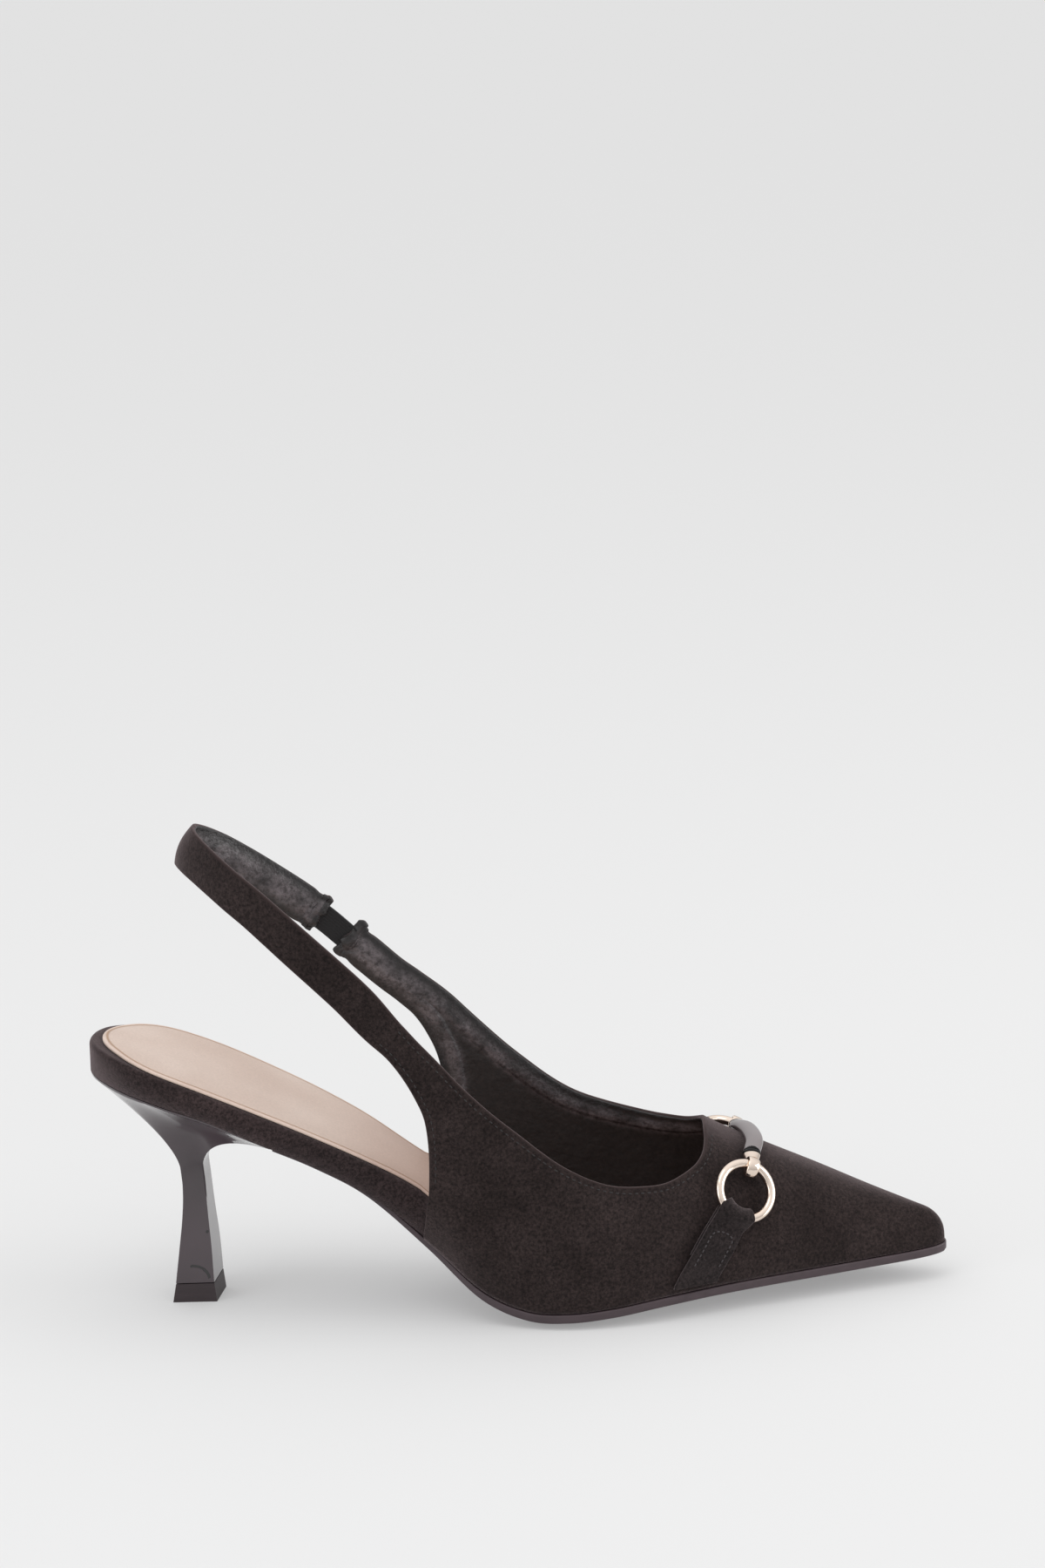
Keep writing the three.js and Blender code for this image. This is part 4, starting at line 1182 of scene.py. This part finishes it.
def rounded_loop(radius, thickness):
    """A section's loop: flat below, upright sides, and upper edges rounded by a radius."""
    arc = np.radians(spread(5, 0, 90))
    inward = radius * (1 - np.cos(arc))
    drop = radius * (1 - np.sin(arc)) / thickness
    bottom = [(a, 0.0, 0.0) for a in spread(slab_cells, -1, 1)]
    right = [(1, i, 1.0 - d) for i, d in zip(inward, drop)]
    top = [(a, radius, 1.0) for a in spread(slab_cells, 1, -1)[1:-1]]
    left = [(-1, i, 1.0 - d) for i, d in zip(inward[::-1], drop[::-1])]
    return bottom + right + top + left


board_taper = 22.0
toe_inset = 1.4
board_round = 1.3
board_side = 8.0


def footbed_inset(t):
    """The board is full width behind the quarters and lies inside their wall ahead of them,
    set in further towards the toe."""
    x = section("at", t) * shoe_length
    inside = smooth(quarter_start - board_taper, quarter_start - 1.5, x)
    return inside * (upper_wall + 3 * clearance) + smooth(0.9, 1, x / shoe_length) * toe_inset


def board_at(x):
    """Height of the board with the sock at a distance from the back of the shoe."""
    return board_height * section("board", station_at(x / shoe_length))


def footbed_top(x):
    """Height of the board's upper face: the sock and a clearance lie on it."""
    return edge_height_at(x) + board_at(x) - sock_thickness - clearance


board_stations = np.concatenate([spread(30, 0, 1.5), spread(170, 1.5, end_station)[1:]])
board_loop = rounded_loop(board_round, board_side)
board_rows = slab(board_stations, footbed_inset, board_loop,
                  lambda x, across, up: mix(edge_height_at(x), footbed_top(x), up))
footbed = make("footbed_cover", *tube(board_rows), [suede_cover])
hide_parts("footbed")

sock_round = 0.5
sock_crown = 0.35
sock_loop = rounded_loop(sock_round, sock_thickness)


def sock_height(x, across, up):
    """The sock lies on the board and swells a little towards its middle."""
    crown = sock_crown * np.maximum(0, 1 - across ** 2) * up
    return footbed_top(x) + clearance + up * sock_thickness + crown


sock_back_reach = 0.09


def sock_around(t):
    """The sock's edge is set in further round the back of the heel."""
    behind = 1 - smooth(0, sock_back_reach, section("at", t))
    return footbed_inset(t) + sock_inset + sock_back * behind


sock_rows = slab(board_stations, sock_around, sock_loop, sock_height)
sock_points, sock_faces = tube(sock_rows)
sock_rim = sock_rows[:, [slab_cells + 1, -1]].reshape(-1, 3)
sock = make("sock_lining", sock_points, sock_faces, [sock_leather],
            layers={"edge": nearest(sock_points, sock_rim)})
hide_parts("sock")

waist_inset = 4.6
tread_half = 0.45
tread_cells = 40
sole_round = 0.45
sole_side = 2.4

# How far the middle of the tread is lowered, in shares of tread_crown, along the shoe
crown = table("at share", [
    [0.20, 0.0], [0.36, 0.1], [0.44, 0.5], [0.50, 1.05], [0.56, 1.4], [0.61, 1.75],
    [0.665, 1.7], [0.73, 1.4], [0.85, 0.9], [1.00, 0.3],
])


def forepart(x):
    """0 at the waist and 1 at the forepart."""
    return smooth(0.3, 0.47, x / shoe_length)


def outsole_height(x, across, up):
    """The tread is level under the ball and rises to the edge as a square of the way out."""
    top = edge_height_at(x) - clearance
    edge = top - mix(waist_thickness, sole_thickness, forepart(x))
    bend = np.interp(x / shoe_length, crown["at"], crown["share"])
    middle = np.maximum(0, edge - tread_crown * bend)
    rise = np.maximum(0, (np.abs(across) - tread_half) / (1 - tread_half))
    low = np.maximum(0, mix(middle, edge, rise * rise))
    return mix(low, top, up)


def sole_inset(t):
    """Set in under the waist, and standing out by the flange round the forepart."""
    return mix(waist_inset, -sole_flange, forepart(section("at", t) * shoe_length))


def sole_loop():
    """Tread, rounded lower edge, upright side and rounded upper edge."""
    arc = np.radians(spread(4, 0, 90))
    inward = sole_round * (1 - np.sin(arc))
    up = sole_round * (1 - np.cos(arc)) / sole_side
    bottom = [(a, sole_round, 0.0) for a in spread(tread_cells, -1, 1)[1:-1]]
    right = [(1, i, u) for i, u in zip(inward, up)]
    right += [(1, i, 1 - u) for i, u in zip(inward[::-1], up[::-1])]
    top = [(a, sole_round, 1.0) for a in spread(slab_cells, 1, -1)[1:-1]]
    left = [(-1, i, u) for _, i, u in right[::-1]]
    return bottom + right + top + left


sole_rear = heel_reach + clearance
sole_stations = spread(200, station_at(sole_rear / shoe_length), end_station)
sole_rows = slab(sole_stations, sole_inset, sole_loop(), outsole_height, sole_rear)
outsole = make("outsole_rubber", *tube(sole_rows), [sole_rubber], crease=50)
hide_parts("outsole")


# Heel

lip_height = 0.5
lip_front = 0.4

# The seat's rim: the share of the way round at its corners, its insets at the breast and
# behind it, and the share of heel_reach that it shrinks towards
seat_corner = 0.62
breast_inset = 1.6
seat_inset = 0.2
seat_middle = 0.52
stem_base = top_piece_height + clearance
heel_front = station_at(heel_reach / shoe_length)
heel_sides = np.concatenate([spread(22, 0, corner_share), spread(14, corner_share, 1)[1:]])
heel_breast = spread(10, 1, -1)


def seat_loop(scale, lip):
    """The heel's rim under the seat, shrunk towards its middle by scale; lip lowers it by the
    lip's height, which is less at the front."""
    f = heel_sides
    ahead = seat_corner * f / corner_share
    behind = mix(seat_corner, 1, (f - corner_share) / (1 - corner_share))
    t = mix(heel_front, 0, np.where(f < corner_share, ahead, behind))
    inset = mix(breast_inset, seat_inset, np.minimum(1, 3 * f))
    outer = np.stack(edge_point(t, -1, inset), -1)
    inner = np.stack(edge_point(t, 1, inset), -1)
    v = spread(len(heel_breast) - 1)[1:-1]
    face = mix(inner[0], outer[0], v[:, None])
    loop = np.concatenate([outer, inner[::-1][1:], face])
    loop = mix(loop, np.array([heel_reach * seat_middle, 0]), 1 - scale)
    x = np.minimum(loop[:, 0], heel_reach)
    thin = smooth(0.5, 1, x / heel_reach)
    z = edge_height_at(x) - clearance - lip * mix(lip_height, lip_front, thin)
    return np.stack([x, loop[:, 1], z], -1)


# Where the flare's curve turns, as shares of the way out and up from the stem to the rim, and
# how far the rim stands ahead of the stem where the back's turn goes over into the front's
flare_back = (0.05, 0.22)
flare_front = (0.10, 0.985)
flare_side = (-26, 16)
stem_rows = 30
flare_rows = 32


def heel_rings():
    """Stem sections, then a quadratic curve from the stem's top out to the rim: nearly
    straight at the back, and an arch close under the seat at the front."""
    heights = spread(stem_rows, stem_base, 0.9 * stem_rise)
    rings = [stem_loop(h, heel_sides, heel_breast) for h in heights]
    top = stem_loop(stem_rise, heel_sides, heel_breast)
    rim = seat_loop(1, 1)
    ahead = smooth(*flare_side, rim[:, 0] - top[:, 0])
    turn = mix(top, rim, mix(flare_back[0], flare_front[0], ahead)[:, None])
    turn[:, 2] = mix(top[:, 2], rim[:, 2], mix(flare_back[1], flare_front[1], ahead))
    rings += [top * (1 - f) ** 2 + turn * 2 * f * (1 - f) + rim * f * f for f in spread(flare_rows)]
    return np.array(rings + [seat_loop(s, 0) for s in (1, 0.7, 0.35)])


heel = make("heel_block", *tube(heel_rings()), [heel_lacquer], crease=55)
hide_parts("heel")

tip_rings = np.array([stem_loop(h, heel_sides, heel_breast) for h in (0.0, top_piece_height)])
top_piece = make("top_piece_rubber", *tube(tip_rings), [tip_rubber], crease=30)
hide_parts("top_piece")


# Elastic

elastic_bite = 1.2 / strap_arms[1].lengths[-1]
elastic_ribs = 9
elastic_cells = 72
rib_height = 0.12
rib_foot = 0.15


def elastic_band():
    """Two ribbed faces of a band: ribs run along it, as a row of even waves. Its ends reach
    into the strap's."""
    a = spread(40, strap_share + elastic_bite, stub_share - elastic_bite)
    wave = rib_height * np.abs(np.sin(spread(elastic_cells) * math.pi * elastic_ribs))
    low = -(upper_wall + elastic_thickness) / 2 + rib_foot
    high = low + elastic_thickness - 2 * rib_foot
    front = strap_arms[1].across(a, elastic_width, elastic_cells, high + wave)
    back = strap_arms[1].across(a, elastic_width, elastic_cells, low - wave)
    return tube(np.concatenate([front, back[:, ::-1]], axis=1))


elastic = make("elastic_band", *elastic_band(), [elastic_weave])
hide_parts("elastic")


# Rings, bar and keepers


def frame_on(places, side):
    """Point, direction along the last, direction up its wall and straight out of it."""
    share, degrees = np.moveaxis(np.asarray(places, float), -1, 0)
    t = station_at(share)
    place = last(t, degrees, side)
    ahead, behind = last(t + station_step, degrees, side), last(t - station_step, degrees, side)
    along = unit(ahead - behind)
    climb = last(t, degrees + 1, side) - last(t, degrees - 1, side)
    out = unit(np.cross(along, climb)) * -side
    return place, along, np.cross(out, along) * -side, out


def outside(place, side, distance):
    """The point at a distance straight out of the last."""
    point, _, _, out = frame_on(place, side)
    return point + out * distance


# The rings' middles, and the foot and the head of each keeper's rear and front edge: shares
# of shoe_length and angles up the wall
hardware = {
    "lateral": dict(
        side=-1, centre=[0.7592, 43.2],
        rear=[[0.679, 2.5], [0.7295, 33.0]], front=[[0.727, 2.5], [0.760, 27.0]]),
    "medial": dict(
        side=1, centre=[0.7390, 44.5],
        rear=[[0.660, 2.5], [0.709, 34.0]], front=[[0.708, 2.5], [0.740, 29.0]]),
}
ring_radius = (ring_outer - ring_wire) / 2
keeper_under = clearance + keeper_thickness / 2
keeper_layer = keeper_under + keeper_thickness + clearance
keeper_turn = ring_wire / 2 + 1.5 * clearance + keeper_thickness / 2


def keeper_place(name, v, f):
    """A place on the last beside the keeper's middle line: v across it and f up it."""
    rear = np.array(hardware[name]["rear"])
    front = np.array(hardware[name]["front"])
    share = ((np.asarray(v, float) + 1) / 2)[..., None]
    foot = mix(rear[0], front[0], share)
    head = mix(rear[1], front[1], share)
    return mix(foot, head, np.asarray(f, float)[..., None])


def ring_frame(name):
    """Centre and directions of a ring that lies so far off the last that the keeper passes
    under its wire."""
    side = hardware[name]["side"]
    place, along, up, out = frame_on(hardware[name]["centre"], side)
    top = outside(keeper_place(name, 0.0, 1.0), side, 0)
    drop = (place - top) @ out
    centre = place + out * (keeper_turn + keeper_under + 1.5 * clearance - drop)
    foot = top - centre
    foot = unit(foot - out * (foot @ out))
    beside = np.cross(foot, out) * side
    hook = math.radians(knuckle_turn)
    head = along * math.cos(hook) + up * math.sin(hook)
    return dict(centre=centre, along=along, up=up, out=out, foot=foot, beside=beside, head=head)


ring_frames = {name: ring_frame(name) for name in hardware}


def ring_mesh(name):
    """A torus of wire that is slightly squared: cosine and sine of the way round the wire are
    raised to powers a little below 1."""
    f = ring_frames[name]
    turns = spread(96, 0, 2 * math.pi)[:, None, None]
    girth = spread(24, 0, 2 * math.pi)[None, :, None]
    arm = f["along"] * np.cos(turns) + f["up"] * np.sin(turns)
    wide = ring_wire / 2 * np.sign(np.cos(girth)) * np.abs(np.cos(girth)) ** 0.85
    high = ring_wire / 2 * np.sign(np.sin(girth)) * np.abs(np.sin(girth)) ** 0.95
    points = f["centre"] + arm * (ring_radius + wide) + f["out"] * high
    return outward(weld(points.reshape(-1, 3), grid_faces(*points.shape[:2])))


bar_steps = 60
bar_offset = bar_thickness / 2 + clearance
bar_path = [
    (-1, [0.769, 68]), (-1, [0.7725, 80]), (-1, [0.770, 89]),
    (1, [0.763, 81]), (1, [0.7545, 70]),
]


def ring_head(name):
    """The middle of the ring's wire where the bar's knuckle holds it."""
    return ring_frames[name]["centre"] + ring_frames[name]["head"] * ring_radius


def bar_curve():
    """Points along a centripetal cubic through the rings' heads and the bar's path, and the
    distance at each."""
    knots = [ring_head("lateral")]
    knots += [outside(place, side, bar_offset + clearance / 2) for side, place in bar_path]
    knots += [ring_head("medial")]
    knots = [2 * knots[0] - knots[1], *knots, 2 * knots[-1] - knots[-2]]
    parts = []
    for p0, p1, p2, p3 in zip(knots, knots[1:], knots[2:], knots[3:]):
        d0, d1, d2 = (math.sqrt(np.linalg.norm(b - a)) for a, b in ((p0, p1), (p1, p2), (p2, p3)))
        t1 = ((p1 - p0) / d0 - (p2 - p0) / (d0 + d1) + (p2 - p1) / d1) * d1
        t2 = ((p2 - p1) / d1 - (p3 - p1) / (d1 + d2) + (p3 - p2) / d2) * d1
        s = np.linspace(0, 1, bar_steps, endpoint=False)[:, None]
        cube = (2 * p1 - 2 * p2 + t1 + t2) * s ** 3
        parts.append(p1 + t1 * s + (3 * p2 - 3 * p1 - 2 * t1 - t2) * s ** 2 + cube)
    points = np.concatenate([*parts, [knots[-2]]])
    return points, way_along(points)


bar_points, bar_way = bar_curve()
bar_length = bar_way[-1]


def on_bar(distance):
    """The point of the bar's curve at a distance from its outer end."""
    return point_at(distance, bar_way, bar_points)


def oval_bar(distances, wide, thick, around=32):
    """Oval sections along the bar's curve, with half a width and half a thickness at each."""
    distances = np.asarray(distances, float)
    along = unit(on_bar(distances + 0.2) - on_bar(distances - 0.2))
    out = unit(np.cross(np.array([1.0, 0, 0]), along))
    beside = np.cross(along, out)
    a = np.linspace(0, 2 * math.pi, around, endpoint=False)
    thick = np.asarray(thick, float)[:, None, None]
    wide = np.asarray(wide, float)[:, None, None]
    high = out[:, None] * np.sin(a)[:, None] * thick
    broad = beside[:, None] * np.cos(a)[:, None] * wide
    return tube(on_bar(distances)[:, None] + (high + broad))


collar_reach = 2.7


def sleeve_mesh():
    """The tube over the bar: even, with rounded ends and a shallow groove near each."""
    from_end = np.array([0.0, 0.02, 0.1, 0.25, 0.9, 1.05, 1.2, 1.35])
    girth = np.array([0.80, 0.88, 0.97, 1.0, 1.0, 0.93, 0.93, 1.0])
    first = ferrule_length + from_end
    second = bar_length - ferrule_length - from_end[::-1]
    middle = spread(60, first[-1] + 0.2, second[0] - 0.2)
    at = np.concatenate([first, middle, second])
    size = np.concatenate([girth, np.ones(len(middle)), girth[::-1]])
    return oval_bar(at, size * bar_width / 2, size * bar_thickness / 2)


sleeve_points, sleeve_faces = sleeve_mesh()
sleeve_ends = np.stack([on_bar(ferrule_length), on_bar(bar_length - ferrule_length)])
from_ends = nearest(sleeve_points[sleeve_faces].mean(axis=1), sleeve_ends)
sleeve = make("bar_tube", sleeve_points, sleeve_faces, [vinyl_painted_sheen, black_vinyl],
              from_ends < collar_reach)
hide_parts("bar_sleeve")


# The cup goes ferrule_taper of the way from the tube's section to ferrule_tip
ferrule_taper = 0.6
knuckle_play = 0.12
knuckle_half = 0.43 * knuckle_width


def ferrule_mesh(name):
    """A cup that tapers from the tube to the ring, and a knuckle round the ring's wire: an
    oval ring of metal turned about the wire, with rounded rims."""
    f = ring_frames[name]
    bore = ring_wire / 2 + knuckle_play
    mouth, throat = ferrule_length - clearance, bore + knuckle_wall / 2
    s = np.array([0, 0.01, 0.04, 0.10, 0.16, 0.20, 0.26, 0.34, 0.44, 0.55, 0.66, 0.78, 0.9, 1.0])
    rim = np.array([0.92, 0.98, 1.0, 1.01, 1.01, 1.01, 1.01, 1.01, 1, 1, 1, 1, 1, 1])
    taper = ferrule_taper * s
    at = mix(mouth, throat, s)
    at = at if name == "lateral" else bar_length - at
    cup = oval_bar(at, rim * mix(bar_width, ferrule_tip, taper) / 2,
                   rim * mix(bar_thickness, ferrule_tip, taper) / 2)
    across = np.cross(f["head"], f["out"])
    around = spread(40, 0, 2 * math.pi)[:, None, None]
    outer_high, outer_thick = bore + knuckle_wall + knuckle_drop, bore + knuckle_wall
    wire = ring_head(name)
    middle = wire - f["head"] * knuckle_drop
    half = knuckle_half
    lathe = [(1, -half + 0.7), (1.04, 0), (1, half - 0.7), (0.9, half - 0.25), (0.7, half),
             (0.2, half), (0, half - 0.2), (0, -half + 0.2), (0.2, -half), (0.7, -half),
             (0.9, -half + 0.25), (1, -half + 0.7)]
    depth, width = (np.array(c)[None, :, None] for c in zip(*lathe))
    skin = middle + f["head"] * outer_high * np.cos(around)
    skin = skin + f["out"] * outer_thick * np.sin(around)
    hole = wire + f["head"] * bore * np.cos(around) + f["out"] * bore * np.sin(around)
    points = mix(hole, skin, depth) + across * width
    knuckle = outward(weld(points.reshape(-1, 3), grid_faces(*points.shape[:2])))
    return join(cup, knuckle)


# The keeper's fold: the turn round the wire in degrees, and the shares of the strap's way up
# where the fold begins and over which the strap rises from the vamp to the layer on top
fold_from = 55.0
fold_to = 270.0
fold_foot = 0.88
free_rise = 0.36
free_end = 0.1
keeper_columns = 26
keeper_rows = 48
fold_rows = 30
under_rows = 14


def keeper_sheet(name):
    """The keeper's outer face: up the vamp from the sole, over the ring's wire and back
    underneath. Returns the rows and which way is out."""
    side = hardware[name]["side"]
    f = ring_frames[name]
    v = spread(keeper_columns, -1, 1)
    half = keeper_thickness / 2

    ends = outside(keeper_place(name, np.zeros(2), np.array([0.0, 1.0])), side, 0)
    free = 1 - keeper_fold / np.linalg.norm(ends[1] - ends[0])

    def on_vamp(shares, offset, turned):
        """The strap is stiffer than the vamp's every curve: its places are fitted with a
        polynomial of low order in both directions."""
        f, w = np.meshgrid(shares, v, indexing="ij")
        place, _, _, out = frame_on(keeper_place(name, w, f), side)
        place = place + out * offset[:, None, None]
        terms = np.stack([f ** i * w ** k for i in range(5) for k in range(4)], -1)
        terms = terms.reshape(-1, terms.shape[-1])
        both = np.concatenate([place, out], -1).reshape(-1, 6)
        fitted = (terms @ np.linalg.lstsq(terms, both, rcond=None)[0]).reshape(*f.shape, 6)
        return list(fitted[..., :3]), list(unit(fitted[..., 3:]) * turned)

    shares = spread(keeper_rows, 0, fold_foot)
    lift = mix(keeper_under, keeper_layer, smooth(free - free_rise, free + free_end, shares))
    rows, outs = on_vamp(shares, lift + half, 1)
    bend = np.arcsin(v * keeper_width / 2 / ring_radius)[:, None]
    arm = f["foot"] * np.cos(bend) + f["beside"] * np.sin(bend)
    for turn in np.radians(spread(fold_rows, fold_from, fold_to)):
        out = arm * math.cos(turn) + f["out"] * math.sin(turn)
        rows.append(f["centre"] + arm * ring_radius + out * (keeper_turn + half))
        outs.append(out)
    shares = spread(under_rows, fold_foot, free)
    below = on_vamp(shares, keeper_under - half + 0 * shares, -1)
    rows, outs = np.array(rows + below[0]), np.array(outs + below[1])
    kernel = np.array([1, 4, 6, 4, 1]) / 16
    eased = rows.copy()
    eased[2:-2] = sum(k * rows[i:len(rows) - 4 + i] for i, k in enumerate(kernel))
    return eased, outs


arch_foot = 0.26
arch_head = 0.76
arch_half = 0.66
arch_rise = 0.1
strap_run = 25
strap_half = 5
arch_points = 200


def arch_path(rows, outs):
    """The stitch line that closes the fold: two legs up the strap and an arch below the
    ring. Places are shares of the way up the strap and across it; strap_run and strap_half
    are its length and half its width in round millimetres, to space the points."""
    turn = np.radians(spread(24, 180, 0))
    v = np.concatenate([[-arch_half], arch_half * np.cos(turn), [arch_half]])
    crest = arch_head - arch_rise + arch_rise * np.sin(turn)
    f = np.concatenate([[arch_foot], crest, [arch_foot]])
    steps = np.hypot(np.diff(f) * strap_run, np.diff(v) * strap_half)
    way = np.concatenate([[0], np.cumsum(steps)])
    at = np.linspace(0, way[-1], arch_points)
    f, v = np.interp(at, way, f), np.interp(at, way, v)
    row = f / fold_foot * keeper_rows
    column = (v + 1) / 2 * keeper_columns
    i, k = row.astype(int), column.astype(int)
    a, b = (row - i)[:, None], (column - k)[:, None]
    found = []
    for grid in (rows, outs):
        near = mix(grid[i, k], grid[i, k + 1], b)
        far = mix(grid[i + 1, k], grid[i + 1, k + 1], b)
        found.append(mix(near, far, a))
    return found


keeper_roll = 0.2

for name in hardware:
    ring = make(f"ring_{name}_wire", *ring_mesh(name), [pale_gold])
    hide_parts(f"ring_{name}")
    ferrule = make(f"ferrule_{name}_cup", *ferrule_mesh(name), [pale_gold], crease=50)
    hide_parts(f"ferrule_{name}")
    rows, outs = keeper_sheet(name)
    faces = grid_faces(*rows.shape[:2])
    points = rows.reshape(-1, 3)
    if (point_normals(points, faces) * outs.reshape(-1, 3)).sum() < 0:
        faces = faces[:, ::-1]
    points, faces, _, far = shell(points, faces, keeper_thickness, keeper_roll)
    stitches(f"stitches_keeper_{name}", *arch_path(rows, outs), keeper_thread,
             pitch=1.5, length=1.1, width=0.42)
    keeper = make(f"keeper_{name}_strap", points, faces, [suede_strap], layers={"edge": far})
    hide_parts(f"keeper_{name}")


# Floor, light and camera


floor_half = 40.0
floor_glow = 0.265
sky_strength = 1.13
lamp_aim = np.array([0.0, 0.0, 0.05])


def floor_plane():
    """A wide level floor in pale grey. Part of its tone is its own light, so the shadows on
    it stay as soft as on a lit table."""
    half = floor_half
    corners = [(-half, -half, 0), (half, -half, 0), (half, half, 0), (-half, half, 0)]
    mesh = bpy.data.meshes.new("floor")
    mesh.from_pydata(corners, [], [(0, 1, 2, 3)])
    paper, tree, shader = finish("floor_paper", 0.9, "#bdbdbd", Specular_IOR_Level=0.1)
    shader.inputs["Emission Color"].default_value = grey(1.0)
    shader.inputs["Emission Strength"].default_value = floor_glow
    mesh.materials.append(paper)
    made = bpy.data.objects.new("floor", mesh)
    bpy.context.scene.collection.objects.link(made)
    return made


floor_plane()


def stand(made, axes, place):
    """Puts a lamp or camera at a place, with its three axes as the columns of axes."""
    made.matrix_world = Matrix([[*row, p] for row, p in zip(axes, place)] + [[0, 0, 0, 1]])
    bpy.context.scene.collection.objects.link(made)


def soft_light(name, place, size, power, tint="#ffffff"):
    """A large square lamp that looks at the shoe."""
    data = bpy.data.lights.new(name, "AREA")
    data.energy = power
    data.size = size
    data.color = colour(tint)[:3]
    lamp = bpy.data.objects.new(name, data)
    spot = np.array(place, float)
    aim = unit(lamp_aim - spot)
    side = unit(np.cross(aim, [0.0, 0.0, 1.0]))
    up = np.cross(side, aim)
    stand(lamp, np.stack([side, up, -aim], 1), spot)


def studio_world():
    """Soft light from all round, brighter from above than from the sides."""
    world = bpy.data.worlds.new("studio")
    world.use_nodes = True
    tree = world.node_tree
    way = node(tree, "TexCoord").outputs["Generated"]
    height = node(tree, "SeparateXYZ", {"Vector": way}).outputs["Z"]
    tone = ramp(tree, height, grey(0.42), grey(1.0), 0.0, 0.9)
    tree.links.new(tone, tree.nodes["Background"].inputs["Color"])
    tree.nodes["Background"].inputs["Strength"].default_value = sky_strength
    bpy.context.scene.world = world


studio_world()
soft_light("top_light", (-0.5, -0.5, 1.7), 1.0, 3.0)
soft_light("left_light", (-1.3, -0.7, 0.5), 0.9, 4.0, "#f2f6fa")
soft_light("right_light", (1.4, -0.15, 0.45), 0.9, 8.0)
bpy.context.scene.view_settings.view_transform = "Standard"

# The camera's angles, and its place in the same millimetres as the shoe
camera_turn, camera_rise, camera_roll = np.radians([2.5, 13.0, 1.5])
camera_place = np.array([178.438, -1196.341, 426.924])


def aim_camera():
    """The photograph's view: turned, raised and rolled, with a lens of 100 mm."""
    ca, sa = math.cos(camera_turn), math.sin(camera_turn)
    ce, se = math.cos(camera_rise), math.sin(camera_rise)
    ahead = np.array([-sa * ce, ca * ce, -se])
    right = np.array([ca, sa, 0.0])
    up = np.cross(right, ahead)
    cr, sr = math.cos(camera_roll), math.sin(camera_roll)
    turned = np.stack([right * cr - up * sr, up * cr + right * sr, -ahead], 1)
    data = bpy.data.cameras.new("photo_view")
    data.lens = 100.0
    data.sensor_width = 36.0
    data.clip_start = 0.05
    data.clip_end = 20.0
    made = bpy.data.objects.new("photo_view", data)
    stand(made, turned, (camera_place + shift) / 1000)
    bpy.context.scene.camera = made


aim_camera()
